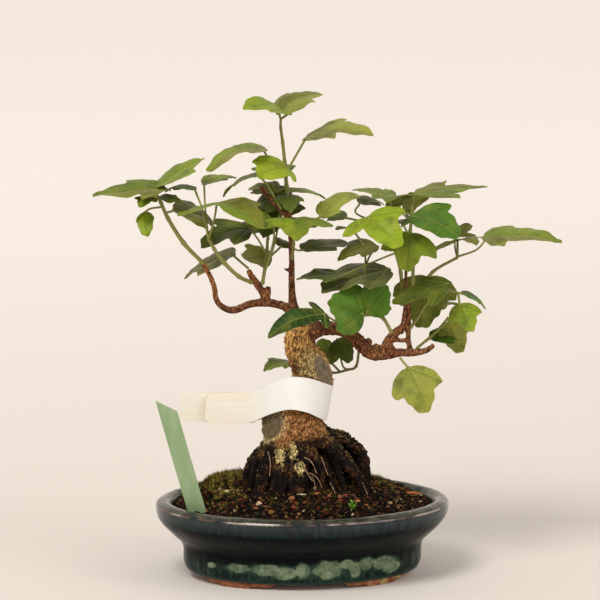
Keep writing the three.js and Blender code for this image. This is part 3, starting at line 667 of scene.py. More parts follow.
crumbs = []
for number in range(6):
    clear_selection()
    bpy.ops.mesh.primitive_ico_sphere_add(subdivisions=1, radius=1)
    crumb = bpy.context.object
    for point in crumb.data.vertices:
        point.co *= 1 + 0.45 * noise.noise(point.co * 1.3 + Vector((number * 5, 0, 0)))
        point.co.z *= 0.75
    crumbs.append(take_shape(crumb))
print("crumb kinds:", len(crumbs))

# %% Strew the crumbs
crumb_colours = [  # colour, and how often it comes
    (srgb(18, 11, 7), 34), (srgb(38, 23, 13), 24), (srgb(70, 38, 20), 16), (srgb(112, 50, 26), 9),
    (srgb(92, 66, 40), 7), (srgb(142, 100, 56), 6), (srgb(62, 62, 20), 9), (srgb(168, 108, 72), 3),
    (srgb(206, 178, 140), 1.4),
]


def on_soil(edge=0.985):
    """A place at random on the soil, x and y in mm."""
    turn, reach = chance.uniform(0, 2 * math.pi), edge * math.sqrt(chance.random())
    return 65.9 * reach * math.cos(turn), 48.3 * reach * math.sin(turn)


def turned(at, size, stretch=(1, 1, 1)):
    """A random turn, a size in mm and a place, as a matrix."""
    spin = Matrix.Rotation(chance.uniform(0, 6.3), 4, "Z") @ Matrix.Rotation(chance.uniform(-1, 1), 4, "X")
    return Matrix.Translation(place(*at)) @ spin @ Matrix.Diagonal((*(size * mm * s for s in stretch), 1))


copies = []
for _ in range(8600):
    x, y = on_soil()
    size = min(chance.lognormvariate(-0.12, 0.38), 2.2) * 0.78
    colour = chance.choices([c for c, _ in crumb_colours], [w for _, w in crumb_colours])[0]
    shade = chance.uniform(0.5, 1.15)
    at = (x, y, soil_height(x, y) - 0.2 + chance.uniform(-0.1, 0.5) * size)
    stretch = (chance.uniform(0.8, 1.3), chance.uniform(0.7, 1.1), chance.uniform(0.6, 1.1))
    kind = chance.randrange(len(crumbs))
    copies.append((kind, turned(at, size, stretch), [c * shade for c in colour]))
crumb_layer = stamp("crumb_layer", crumbs, copies)
soil.data.transform(Matrix.Translation(pot_centre * mm))
paint_points(soil.data, srgb(22, 15, 10))
join_into(soil, [crumb_layer])

earth = Finish("dark_earth", Roughness=0.95, Specular_IOR_Level=0.15)
own_colour = earth.node("ShaderNodeAttribute", {"attribute_name": "tint"})
specks = earth.cloud(2600, 3, 0.7)
damp = earth.mix(own_colour, srgb(10, 6, 4), earth.cloud(260, 3).ramp(0.42, 0.7) * 0.75)
speckled = earth.mix(damp, srgb(120, 84, 50), specks.ramp(0.66, 0.8) * 0.3)
earth.set(Base_Color=speckled, Roughness=0.75 + specks * 0.2)
earth.bump(specks, 0.0004, 0.9)
wear(soil, "soil", earth)
stand_for(soil, "soil")
print("soil triangles:", sum(len(face.vertices) - 2 for face in soil.data.polygons))

# %% [markdown]
# ## Moss, chips and a seedling
#
# Moss makes the skyline of the heap bristly, in olive, yellow-green and brown. One tuft is a ring of thin
# three-sided blades that lean outwards, and it is stamped a few hundred times, thickly on the left heap
# and sparsely elsewhere. A few chips, pale flakes and one bright seedling lie where the eye finds them.

# %% Grow the moss
def blade_tuft(count, lean, seed):
    """A tuft of thin blades, one unit tall."""
    dice = random.Random(seed)
    corners, sides = [], []
    for _ in range(count):
        turn, tilt, tall = dice.uniform(0, 6.3), dice.uniform(0.1, lean), dice.uniform(0.5, 1)
        foot = Vector((dice.uniform(-0.3, 0.3), dice.uniform(-0.3, 0.3), -0.15))
        out = Vector((math.cos(turn), math.sin(turn), 0))
        tip = foot + out * math.sin(tilt) * tall + Vector((0, 0, math.cos(tilt) * tall))
        a, b, c, top = range(len(corners), len(corners) + 4)
        for step in range(3):
            wide = Vector((math.cos(turn + step * 2.1), math.sin(turn + step * 2.1), 0)) * 0.075
            corners.append(foot + wide)
        corners.append(tip)
        sides += [[a, b, top], [b, c, top], [c, a, top], [c, b, a]]
    return corners, sides


tufts = [blade_tuft(9, 0.9, seed) for seed in range(5)]
moss_colours = [srgb(80, 80, 24), srgb(140, 130, 42), srgb(42, 50, 18), srgb(168, 148, 64), srgb(86, 56, 28)]
moss_beds = [  # x, y, half width in mm, tufts, height
    (-38, 8, 9, 240, 3.4), (-48, 3, 7, 130, 3), (-33, 2, 7, 130, 3), (-42, -6, 9, 110, 2.2),
    (-36, -20, 9, 70, 1.8), (-46, -14, 7, 70, 1.8), (38, 9, 6, 80, 3.2), (43, -4, 8, 50, 2),
    (8, -22, 9, 40, 1.6), (-20, -26, 8, 36, 1.5), (0, 0, 60, 420, 1.5), (-30, 22, 16, 90, 1.8),
    (26, 24, 16, 60, 1.7), (-6, -32, 16, 50, 1.4),
]
copies = []
for cx, cy, spread, count, tall in moss_beds:
    for _ in range(count):
        x, y = cx + chance.gauss(0, 0.55) * spread, cy + chance.gauss(0, 0.55) * min(spread, 30)
        if (x / 65) ** 2 + (y / 47.5) ** 2 < 0.96:
            at = (x, y, soil_height(x, y) + 0.1)
            kind, size = chance.randrange(len(tufts)), tall * chance.uniform(0.6, 1.2)
            copies.append((kind, turned(at, size), chance.choice(moss_colours)))
moss = stamp("moss", tufts, copies)
moss_green = Finish("moss_green", Roughness=0.8, Specular_IOR_Level=0.2)
own_colour = moss_green.node("ShaderNodeAttribute", {"attribute_name": "tint"})
shaded = moss_green.cloud(900, 3).ramp(0.5, 0.75) * 0.5
moss_green.set(Base_Color=moss_green.mix(own_colour, srgb(34, 32, 12), shaded))
moss_green.bump(moss_green.cloud(4000, 2), 0.0001, 0.6)
wear(moss, "soil", moss_green)
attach(moss, "root")
print("moss tufts:", len(copies))

# %% Lay the litter and plant the seedling
def laid(x, y, lift, sizes, turn, tilt=0.1):
    """A shape of these half sizes, lying on the soil at x and y."""
    spin = Matrix.Rotation(math.radians(turn), 4, "Z") @ Matrix.Rotation(tilt, 4, "Y")
    scale = Matrix.Diagonal((*(half * mm for half in sizes), 1))
    return Matrix.Translation(place(x, y, soil_height(x, y) + lift)) @ spin @ scale


pale, chip_wood, brick, chunk = srgb(214, 194, 150), srgb(186, 104, 50), srgb(150, 46, 28), srgb(98, 62, 42)
litter = [  # x, y, lift, half sizes, turn, colour
    (-2.7, -25.4, 0.7, (3.4, 1.3, 0.5), 28, pale), (55.6, -5, 1.1, (6.4, 1.3, 0.9), 12, chip_wood),
    (16.6, -31, 0.7, (1.3, 1, 0.8), 30, brick), (19.3, -24.7, 0.6, (1.2, 0.9, 0.8), 80, brick),
    (-40, -15, 0.8, (1.4, 1.1, 0.9), 10, pale), (47.4, -25.9, 0.7, (2.1, 1.5, 1.1), 60, chunk),
    (-22, -34, 0.6, (3.4, 0.8, 0.5), -24, chunk), (30, -32, 0.6, (2.8, 0.6, 0.5), 64, chip_wood),
    (-8, -37, 0.6, (1.3, 1, 0.7), 0, brick), (4, 33, 0.7, (3, 1.1, 0.6), 70, chip_wood),
    (-36, 20, 0.8, (1.5, 1.2, 0.9), 20, pale), (34, 22, 0.7, (2, 1.2, 0.9), 130, brick),
]
copies = [(number % len(crumbs), laid(x, y, lift, sizes, turn), colour)
          for number, (x, y, lift, sizes, turn, colour) in enumerate(litter)]
for tier, (height, reach, long_half) in enumerate(((1.4, 1.5, 1.3), (3, 1.3, 1.2), (4.4, 0.6, 0.9))):
    for number in range(4 if tier < 2 else 2):
        turn = 40 + tier * 45 + number * (90 if tier < 2 else 180)
        x, y = 21.8 + reach * math.cos(math.radians(turn)), -37 + reach * math.sin(math.radians(turn))
        green = [c * chance.uniform(0.8, 1.2) for c in srgb(124, 168, 40)]
        copies.append((number, laid(x, y, height, (long_half, 0.8, 0.18), turn, -0.5), green))
    copies.append((tier, laid(21.8, -37, height - 0.9, (0.25, 0.25, 1.2), 0), srgb(110, 140, 50)))
litter_layer = stamp("litter", crumbs, copies)
scrap = Finish("litter_scraps", Roughness=0.85)
own_colour = scrap.node("ShaderNodeAttribute", {"attribute_name": "tint"})
scrap_grain = scrap.cloud(1300, 3, 0.6)
scrap.set(Base_Color=scrap.mix(own_colour, srgb(40, 26, 16), scrap_grain.ramp(0.5, 0.75) * 0.6))
scrap.bump(scrap_grain, 0.0002, 0.7)
wear(litter_layer, "soil", scrap)
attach(litter_layer, "root")
print("bits of litter:", len(copies))

# %% [markdown]
# ## Wood
#
# Trunk, roots and branches are one growth, so there must be no seam where they meet. Each limb is drawn
# as a curve through a few points, with its thickness at each point, which is how a bonsai is sketched:
# the line first, then the weight. The curves turn into meshes, and a voxel remesh fuses them into one
# skin, with soft hollows at the forks as on real wood.

# %% Give the limbs' lines
trunk = [
    (2, 0, 43, 20), (1, 0, 53, 15.5), (-2, 0, 62, 14.8), (-4, 0.5, 70, 15), (-4.8, 0.5, 77.5, 15.4),
    (-2.4, 0, 87, 13.8), (2.1, -0.5, 94.5, 11.5), (5.8, -0.5, 101, 9.4), (3.9, -0.5, 108, 9.6),
    (0.5, 0, 114.5, 8.6), (-1.5, 0, 121, 7.8), (-0.5, 0, 127.5, 7.6), (-1.5, 0, 133.5, 5.6),
    (-3, 0.5, 136.5, 3.4),
]
roots = [
    [(-12, -2, 74, 6), (-16, -3, 69.5, 4.6), (-20, -4.5, 65.8, 3.7), (-24, -6, 62.6, 3.4),
     (-27, -7, 58.8, 3.1), (-28.6, -8, 53.5, 2.9), (-29.5, -8, 45, 2.6)],
    [(-10, -8, 74, 6.5), (-16, -13, 67.5, 4.5), (-20.5, -17, 59, 3.6), (-24, -20, 49, 3),
     (-26, -22, 42, 2.4)],
    [(-6, -9, 72, 6), (-10, -15.5, 63.5, 4.2), (-12, -19, 55.5, 3.2), (-14, -22, 45, 2.5)],
    [(-1, -9, 71, 6), (-1.5, -16, 62.5, 4), (-3, -21, 52.5, 3.1), (-4, -23.5, 43, 2.5)],
    [(6, -7, 74, 6), (12.5, -13.5, 69.5, 3.9), (20, -17, 62, 3.2), (28, -19.5, 52, 2.7),
     (31, -20.5, 42, 2.2)],
    [(5, -1, 75.5, 7), (13, -2, 72, 4.6), (20, -3, 71, 4), (28, -5, 65.6, 3.1), (31, -6, 60, 2.8),
     (31.8, -6.5, 53, 2.7), (32.3, -6.5, 42, 2.4)],
    [(-6, 5, 69, 6.5), (-12, 13, 59.5, 4.6), (-17, 22, 52, 3.4), (-19, 25, 42, 2.6)],
    [(3, 6, 69, 6.5), (11, 14.5, 60, 4.6), (18, 21, 50, 3.4), (20, 23.5, 41, 2.6)],
    [(8, 2, 70, 7), (19, 7, 61, 4.6), (26, 10, 51, 3.4), (28, 11, 42, 2.6)],
    [(12, 2, 71, 5), (22, 1, 64, 4), (27, 0, 57, 3.4), (29, -1, 45, 2.8)],
]
branches = [
    [(-2, 0, 132.5, 4), (-4, 0.5, 137, 3), (-5, 0.5, 142.5, 2.2), (-5.5, 0.5, 153, 1.7),
     (-5.5, 0.5, 163.5, 1.5), (-6, 0.5, 176, 1.4), (-6.5, 0.5, 186.5, 1.3), (-7, 0.5, 194, 1.2)],
    [(-6, 0.5, 158, 1.1), (-8, -0.5, 158.7, 0.8), (-9.5, -1, 159.5, 0.6)],
    [(-2, 0, 131, 4.4), (-7.5, -0.5, 138.5, 2.5), (-13, -0.5, 141, 2.2), (-21, -1, 142, 2.1),
     (-28.5, -1.5, 141, 2), (-33.5, -2, 139, 2), (-38, -2, 138.8, 1.8), (-42, -2, 141, 1.6),
     (-44.5, -3, 145, 1.5), (-45.5, -3.5, 151.5, 1.4), (-48, -3.5, 157.5, 1.3),
     (-51.5, -4, 163.5, 1.2)],
    [(-44.5, -3, 146, 1.2), (-45.5, -4.5, 149, 0.9), (-46.5, -5.5, 151.5, 0.7)],
    [(-19.5, -1, 142, 2), (-20, -1.5, 146, 1.9), (-22.5, -2, 150.5, 2), (-25, -2.8, 154, 1.9),
     (-26.8, -3.3, 157, 1.6), (-28, -3.5, 159.5, 1.2)],
    [(-19, -1, 143, 2.1), (-18, -1.5, 147.5, 1.8), (-17.5, -2, 150.5, 1.2)],
    [(-6.5, 0.5, 184.5, 1.3), (-11, 4, 189, 1.4), (-16, 7.5, 194.5, 1.4), (-20.5, 10, 200, 1.3)],
    [(2, 0, 126, 6), (9.5, -3, 128.5, 4), (15.5, -4.5, 128.5, 3.5), (21, -6, 127.5, 3.3),
     (26, -7.5, 124.5, 3.3), (29.5, -9, 120, 3.4), (34.5, -10.5, 116.5, 3.5), (41, -12, 116, 2.8),
     (48.5, -12.5, 117, 2.2), (54, -13.5, 117, 2), (61.5, -14, 118, 1.6), (66, -14.5, 121, 1.3)],
    [(40, -12, 116.5, 2.6), (42, -12, 122, 2.3), (45.5, -12.3, 126.5, 2.3), (50, -12.8, 130.5, 1.9),
     (50.5, -13, 134, 1.3), (51.5, -11, 141, 1.1), (52, -8, 151, 1), (52.5, -5, 159, 0.9)],
    [(42, -12, 122.5, 1.7), (46, -12.5, 123.5, 1.3), (50, -12.8, 123.3, 1.2), (53.2, -13, 123.5, 1)],
    [(54, -13.5, 117, 1.7), (53, -13.2, 123.5, 1.3), (52.7, -14, 131, 1.5), (53, -14.5, 138, 1.2),
     (53, -14.5, 142.5, 1.1), (55, -14.5, 145.5, 1)],
    [(53, -14.5, 142.5, 1), (55.5, -12.5, 145, 0.9), (57.5, -12, 146.8, 0.8)],
]
knots = [(36.4, -12.2, 119.6, 2.3), (33, -9, 122.5, 2), (44.5, -13.9, 119.5, 1.9), (49.5, -10.5, 127.5, 1.7),
         (29, -11, 124.5, 1.8)]
rootlets = [  # thinner roots that fill in between the thick ones
    [(-14, -6, 72, 3), (-22, -10, 66, 2.2), (-26, -13, 58, 1.7), (-28, -14, 48, 1.4)],
    [(-12, -10, 71, 2.6), (-15, -16, 63, 1.8), (-16, -19, 55, 1.5), (-19, -22, 45, 1.2)],
    [(-3, -11, 70, 2.6), (-7, -18, 61, 1.7), (-8, -21.5, 53, 1.4), (-8, -24, 43, 1.1)],
    [(3, -9, 72, 2.8), (5, -16, 64, 2), (8, -19, 57, 1.6), (9, -21, 44, 1.2)],
    [(9, -8, 72, 2.6), (15, -14, 62, 1.9), (18, -18, 54, 1.6), (20, -20, 43, 1.2)],
    [(12, -4, 70, 2.6), (22, -10, 63, 2), (26, -13, 55, 1.6), (28, -15, 44, 1.2)],
    [(2, -12, 68, 2.2), (10, -17, 60, 1.4), (14, -20, 50, 1.1), (15, -22, 42, 1)],
    [(-8, -12, 69, 2.2), (-4, -18, 60, 1.5), (0, -21, 51, 1.2), (2, -23, 42, 1)],
    [(10, 3, 70, 3), (20, 1, 64, 2.2), (26, -1, 56, 1.8), (29, -2, 44, 1.3)],
    [(-9, 3, 72, 3), (-19, 6, 63, 2.2), (-24, 8, 54, 1.7), (-27, 9, 44, 1.3)],
]
print("limbs:", 1 + len(roots) + len(branches) + len(rootlets))

# %% Draw the limbs and fuse them
def flow(rows, steps=5):
    """A smooth line through rows of numbers, in Catmull and Rom's way, with steps to each stretch."""
    rows = [np.array(row, float) for row in rows]
    rows = [2 * rows[0] - rows[1], *rows, 2 * rows[-1] - rows[-2]]
    line = []
    for a, b, c, d in zip(rows, rows[1:], rows[2:], rows[3:]):
        for t in np.arange(steps) / steps:
            bend, swing = 2 * a - 5 * b + 4 * c - d, 3 * b - a - 3 * c + d
            line.append(0.5 * (2 * b + (c - a) * t + bend * t**2 + swing * t**3))
    return [*line, rows[-2]]


def tube(name, line, sides=3):
    """A round tube along a line of (x, y, z, radius) in mm, as a mesh with closed ends."""
    clear_selection()
    data = bpy.data.curves.new(name, "CURVE")
    data.dimensions, data.fill_mode = "3D", "FULL"
    data.bevel_depth, data.bevel_resolution, data.use_fill_caps = mm, sides, True
    spline = data.splines.new("POLY")
    spline.points.add(len(line) - 1)
    for point, (x, y, z, radius) in zip(spline.points, line):
        point.co = (*place(x, y, z), 1)
        point.radius = radius
    made = bpy.data.objects.new(name, data)
    bpy.context.scene.collection.objects.link(made)
    made.select_set(True)
    bpy.context.view_layer.objects.active = made
    bpy.ops.object.convert(target="MESH")
    return bpy.context.object


limb_rows = [("trunk", trunk)]
limb_rows += [("root", row) for row in roots + rootlets]
limb_rows += [("branch", row) for row in branches]
limb_lines = [(kind, flow(row)) for kind, row in limb_rows]
limbs = [tube(f"limb_{number}", line, 6) for number, (_, line) in enumerate(limb_lines)]
for x, y, z, radius in knots:
    clear_selection()
    bpy.ops.mesh.primitive_ico_sphere_add(subdivisions=3, radius=radius * mm, location=place(x, y, z))
    bpy.ops.object.transform_apply(location=True)
    limbs.append(bpy.context.object)
wood = limbs[0]
join_into(wood, limbs[1:])
wood.name = wood.data.name = "living_wood"
apply_modifier(wood, "REMESH", mode="VOXEL", voxel_size=0.62 * mm, use_smooth_shade=True)
apply_modifier(wood, "SMOOTH", factor=0.5, iterations=3)
print("wood faces:", len(wood.data.polygons))

# %% [markdown]
# Bark runs along a limb: fibres, cracks and ridges all follow its line. So every vertex looks up the
# nearest point of the limbs' lines and learns how far along it lies and on which side. A noise that is
# stretched along the limb then gives the ridges, deep and flaky on the trunk, ropy on the roots and fine
# on the branches. The two pruning scars are pressed in flat, with a swollen lip of callus round them.

# %% Look up the nearest limb for each vertex
samples, kinds = [], []
for number, (kind, line) in enumerate(limb_lines):
    line = [np.array(row, float) for row in line]
    run = number * 37.0
    side = None
    for k, row in enumerate(line):
        ahead = line[min(k + 1, len(line) - 1)][:3] - line[max(k - 1, 0)][:3]
        ahead /= np.linalg.norm(ahead)
        side = np.cross((0.0, 1.0, 0.1), ahead) if side is None else side
        side = side - ahead * side.dot(ahead)
        side /= np.linalg.norm(side)
        run += np.linalg.norm(row[:3] - line[max(k - 1, 0)][:3])
        samples.append((row[:3], ahead, side, run, max(row[3], 0.5)))
        kinds.append(kind)
centres, axes, sides, runs, thick = map(np.array, zip(*samples))
places = np.array([point.co for point in wood.data.vertices]) / mm - np.array(pot_centre)
nearest = np.empty(len(places), int)
for start in range(0, len(places), 4000):
    gap = np.linalg.norm(places[start:start + 4000, None, :] - centres[None], axis=2)
    nearest[start:start + 4000] = (gap / thick[None] ** 0.5).argmin(1)
off = places - centres[nearest]
along = runs[nearest] + (off * axes[nearest]).sum(1)
other = np.cross(axes[nearest], sides[nearest])
around = np.stack([(off * sides[nearest]).sum(1), (off * other).sum(1)], 1)
print("vertices on the trunk:", sum(kinds[n] == "trunk" for n in nearest))

# %% Press in the bark and the scars
scars = [  # middle, direction it faces, direction of its long axis, half length, half width
    ((10.6, -6.6, 106.4), (0.68, -0.72, 0.12), (-0.5, -0.2, 0.84), 9.4, 5.5),
    ((-16.9, -7.2, 80.8), (-0.8, -0.58, 0.12), (0.36, 0.12, 1), 9, 8),
]
relief = {  # depth in mm, and how close the ridges lie across the limb and along it
    "trunk": (0.9, 0.9, 0.24), "root": (0.85, 0.8, 0.24), "branch": (0.32, 0.9, 0.34),
}
fibre = np.zeros(len(places))
lift = np.zeros(len(places))
for i, (n, (u, w), run) in enumerate(zip(nearest, around, along)):
    depth, across_pitch, along_pitch = relief[kinds[n]]
    at = Vector((u * across_pitch, w * across_pitch, run * along_pitch))
    ridge = 1 - 2 * abs(noise.noise(at)) + 0.5 * noise.noise(at * 2.1 + Vector((3, 1, 8)))
    flake = noise.noise(Vector(places[i]) * 0.42)
    crust = noise.noise(Vector(places[i]) * 0.9) + 0.6 * noise.noise(Vector(places[i]) * 1.9)
    lift[i] = depth * (ridge - 0.75 + 0.5 * flake + 0.7 * crust) * min(thick[n] / 3, 1.3)
    fibre[i] = ridge + 0.5 * crust
scar_share, callus = np.zeros(len(places)), np.zeros(len(places))
shift = np.array([point.normal for point in wood.data.vertices]) * lift[:, None]
for middle, facing, long_way, half_long, half_wide in scars:
    facing, long_way = Vector(facing).normalized(), Vector(long_way)
    long_way = (long_way - facing * long_way.dot(facing)).normalized()
    cross = np.array(facing.cross(long_way))
    facing, long_way = np.array(facing), np.array(long_way)
    rel = places - np.array(middle)
    level = rel @ facing
    reach = np.hypot(rel @ long_way / half_long, rel @ cross / half_wide)
    near = abs(level) < 7
    inner = near * np.clip((1.04 - reach) / 0.12, 0, 1)
    lip = near * np.exp(-(((reach - 1.12) / 0.13) ** 2))
    shift = shift * (1 - inner)[:, None] + (inner * (-0.7 - level * 0.92) + lip * 0.75)[:, None] * facing
    scar_share, callus = np.maximum(scar_share, inner), np.maximum(callus, lip)
for point, (x, y, z) in zip(wood.data.vertices, shift):
    point.co += Vector((x, y, z)) * mm
print("deepest crack:", round(float(lift.min()), 2), "mm")

# %% [markdown]
# The colour of the wood changes from limb to limb: golden brown on the upper trunk with a pale crust of
# lichen and a painted shadow on its left just above the label, orange and fibrous below the label, almost
# black on the roots with pale worn edges that are painted paler still where they face up, as a painted
# highlight, reddish brown on the branches with a grey top that is partly a painted highlight. Cracks are
# painted dark as painted shade. Each vertex gets its broad colour in code, and the shader adds grain on
# top, with painted shade in its grooves and a painted highlight on its ridges.

# %% Colour the bark
def blend_colours(first, second, share):
    """A colour between two others, by a share from 0 to 1."""
    return tuple(a + (b - a) * share for a, b in zip(first, second))


def soft_step(value, low, high):
    """0 below low, 1 above high, and a soft step between."""
    share = min(max((value - low) / (high - low), 0), 1)
    return share * share * (3 - 2 * share)


golden, rust = srgb(214, 164, 98), srgb(168, 116, 70)
shadow_umber, pale_fibre = srgb(92, 54, 32), srgb(206, 168, 104)
root_dark, root_worn_lit, lichen = srgb(16, 11, 8), srgb(150, 128, 70), srgb(218, 196, 132)
branch_red, branch_grey_lit, spur_orange = srgb(130, 84, 52), srgb(190, 156, 122), srgb(172, 108, 62)
scar_grey, scar_dark, lip_pale = srgb(144, 128, 104), srgb(114, 98, 74), srgb(222, 194, 142)
branch_dark, root_red = srgb(112, 62, 44), srgb(84, 48, 30)
lichen_spots = [  # x and z of the middle, half width and half height, in mm, on the roots in front
    (-13.1, 66, 2.3, 4.8), (-6.3, 68, 2.3, 3.8), (-3.4, 59.9, 2.2, 3.4),
]

bark_colours = []
for i, (n, at) in enumerate(zip(nearest, places)):
    x, y, z = at
    patch, fleck = noise.noise(Vector(at) * 0.16), noise.noise(Vector(at) * 0.9)
    up = wood.data.vertices[i].normal.z
    if kinds[n] == "branch":
        # Where the branch faces up it is painted grey: partly its own grey bark, partly a painted highlight.
        colour = blend_colours(branch_red, branch_grey_lit, soft_step(fleck + 0.5 * up, 0.25, 0.9) * 0.7)
        colour = blend_colours(colour, spur_orange, soft_step(-x, 16, 22) * soft_step(z, 141, 150) * 0.7)
        colour = blend_colours(colour, branch_dark, soft_step(patch, 0.05, 0.4) * 0.6)
    else:
        colour = blend_colours(rust, golden, soft_step(z, 84, 100))
        # A painted shadow darkens the trunk's left side just above the label.
        painted_shadow = soft_step(-x + patch * 9, 1.5, 6.5) * soft_step(z, 88, 93) * (1 - soft_step(z, 108, 116))
        colour = blend_colours(colour, shadow_umber, painted_shadow * 0.8)
        below_label = soft_step(-z, -86, -82)
        colour = blend_colours(colour, pale_fibre, soft_step(fibre[i] + fleck, 0.95, 1.5) * below_label * 0.6)
        crusted = 1.3 - math.hypot((x - 2.8) / 5.4, (z - 110) / 8) + 0.6 * fleck
        colour = blend_colours(colour, lichen, soft_step(crusted, 0.1, 0.6) * soft_step(-y, 0, 3) * 0.8)
        on_roots = soft_step(-z + 5 * patch + 2 * fleck + 0.16 * x, -76, -71)
        if kinds[n] == "root":
            on_roots = max(on_roots, soft_step(abs(x + 2), 11, 15))
        # Ridge tops and faces that look up are painted pale on the roots: partly wear, partly a painted
        # highlight where light falls from above.
        lit_ridge_top = up + 0.35 * fibre[i] + 0.5 * fleck + 0.8 * patch
        root_wear_and_light = blend_colours(root_dark, root_worn_lit, soft_step(lit_ridge_top, 0.85, 1.6) * 0.85)
        root_wear_and_light = blend_colours(root_wear_and_light, root_red, soft_step(patch + 0.5 * fleck, 0.05, 0.5) * 0.65)
        spots = max(1.2 - math.hypot((x - cx) / wide, (z - cz) / tall) for cx, cz, wide, tall in lichen_spots)
        spots = spots + 0.8 * fleck + 0.6 * noise.noise(Vector(at) * 2.3)
        root_wear_and_light = blend_colours(root_wear_and_light, lichen, soft_step(spots, 0.15, 0.5) * soft_step(-y, 6, 9) * 0.9)
        colour = blend_colours(colour, root_wear_and_light, on_roots)
    # Cracks in the bark are painted dark, as painted shade.
    colour = blend_colours(colour, [c * 0.22 for c in colour], soft_step(-fibre[i], -0.6, 0.3) * 0.85)
    grey = blend_colours(scar_grey, scar_dark, soft_step(-z, -90, -80))
    grey = blend_colours(grey, scar_dark, soft_step(fleck, -0.1, 0.5) * 0.4)
    colour = blend_colours(colour, grey, scar_share[i])
    colour = blend_colours(colour, lip_pale, callus[i] * 0.55)
    bark_colours.append(colour)
paint_points(wood.data, bark_colours)
spread_attribute(wood.data, "cut", scar_share)

bark = Finish("maple_bark", Roughness=0.85, Specular_IOR_Level=0.15)
own_colour = bark.node("ShaderNodeAttribute", {"attribute_name": "tint"})
rough_part = 1 - bark.node("ShaderNodeAttribute", {"attribute_name": "cut"}, output=2) * 0.5
grain = (bark.cloud(1, 4, 0.65, bark.stretch((1500, 1500, 420))) - 0.5) * rough_part + 0.5
pits = bark.cells(900)
# Grooves of the grain are painted dark as painted shade, and its ridges brighter as a painted highlight.
shade = bark.mix(own_colour, srgb(26, 15, 9), grain.ramp(0.54, 0.38) * 0.85)
shade = bark.mix(shade, own_colour, grain.ramp(0.53, 0.68), "ADD")
bark.set(Base_Color=shade, Roughness=0.72 + grain * 0.25)
bark.bump(grain * 0.8 + pits * 0.3, 0.0005, 0.85)
wear(wood, "bark", bark)
stand_for(wood, "wood")
print("wood triangles:", sum(len(face.vertices) - 2 for face in wood.data.polygons))

# %% [markdown]
# Around the roots, hair roots as fine as thread have been laid bare. Each is a thin tube along a few
# points, pale on the dark wood, and some lie over the soil.

# %% Lay the hair roots
hair_rows = [
    [(-1.2, -21, 65.1), (1.3, -22, 64.2), (3.4, -22.6, 61.5), (4.9, -23.5, 57.5)],
    [(1.3, -21.5, 57.3), (4.4, -22.5, 55.7), (6.4, -23.2, 53.2), (7.6, -24.5, 49.8)],
    [(2.8, -21, 55.2), (3.9, -22.5, 52.6), (4.4, -24, 48.5)],
    [(-1.7, -20.5, 62.5), (-0.2, -22.5, 58.3), (2.8, -23.5, 53.5)],
    [(27.7, -20, 54), (29.6, -23, 49.5), (31, -24.5, 45.8)],
    [(7.9, -19, 64.6), (9.4, -20.5, 60.4), (11, -22, 55.8)],
    [(-19.4, -17.5, 68), (-18.4, -20, 63), (-18.9, -22, 56)],
    [(-14.4, -29.8, 43.8), (-11, -30.2, 44), (-7.8, -29.6, 44)],
    [(-51.4, -14.4, 41.6), (-49, -10, 43.6), (-47.1, -6, 47.2)],
    [(-44, -12, 46.5), (-39, -13, 47.4), (-34, -14.5, 47.3), (-29, -15, 47.2)],
    [(34, -14, 47.5), (36, -18, 45.4), (38, -22, 43.2)],
    [(12, -22, 52), (14, -24, 48), (14.5, -26.5, 45)],
]
hairs = []
for number, row in enumerate(hair_rows):
    thick_end = 0.3 if number % 3 == 0 else 0.22
    line = [(*point[:3], thick_end * (1 - 0.6 * k / (4 * len(row)))) for k, point in enumerate(flow(row, 4))]
    hairs.append(tube(f"hair_{number}", line, 1))
hair_roots = hairs[0]
join_into(hair_roots, hairs[1:])
hair_roots.name = hair_roots.data.name = "hair_roots"
root_skin = Finish("pale_root", Roughness=0.7)
paler = root_skin.cloud(500, 3).ramp(0.35, 0.65)
root_skin.set(Base_Color=root_skin.mix(srgb(118, 86, 56), srgb(184, 152, 112), paler))
root_skin.bump(root_skin.cloud(3000, 2), 0.0001, 0.5)
wear(hair_roots, "bark", root_skin)
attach(hair_roots, "root")
print("hair roots:", len(hair_rows))

# %% [markdown]
# ## Leaves
#
# A leaf of this maple has three lobes that point forwards, a vein down each, and a thin pale edge. All
# the leaves are one kind, so one disc is modelled, with rings inset towards the middle, and each leaf is
# a copy pulled into shape: every vertex knows its angle and its share of the way out, and a short rule
# says how far the edge lies at that angle. The blade then arches, sags at its sides and waves a little.
# The lobes' angles and lengths differ from leaf to leaf, and so do the tilt and the colour.

# %% Model the disc
clear_selection()
bpy.ops.mesh.primitive_circle_add(vertices=108, radius=1, fill_type="NOTHING")
disc = bpy.context.object
bpy.ops.object.mode_set(mode="EDIT")
bpy.ops.mesh.select_mode(type="VERT")
bpy.ops.mesh.select_all(action="SELECT")
ring_shares = [1, 0.97, 0.9, 0.8, 0.69, 0.57, 0.45, 0.33, 0.21, 0.1]
for share, following in zip(ring_shares, ring_shares[1:]):
    bpy.ops.mesh.extrude_region_move()
    bpy.ops.transform.resize(value=(following / share,) * 3, center_override=(0, 0, 0))
bpy.ops.mesh.edge_face_add()
bpy.ops.mesh.poke()
bpy.ops.mesh.select_all(action="SELECT")
bpy.ops.mesh.normals_make_consistent(inside=False)
bpy.ops.object.mode_set(mode="OBJECT")
if disc.data.polygons[0].normal.z < 0:
    disc.data.flip_normals()
disc_shape = take_shape(disc)
print("disc faces:", len(disc_shape[1]))

# %% Say what one leaf looks like
def leaf(stalk, base, tip, facing, tint, left=(46, 0.74), right=(46, 0.74), arch=0.12, slim=1.0):
    """A leaf by its stalk, base, tip and the way its upper side looks, in mm from the middle of the pot.
    A side lobe is its angle from the middle lobe, and its length over the middle lobe's. Arch is how high
    the blade arches over its length, and slim is the lobes' width over the usual."""
    return {"stalk": stalk, "base": base, "tip": tip, "facing": facing, "tint": tint,
            "left": left, "right": right, "arch": arch, "slim": slim}


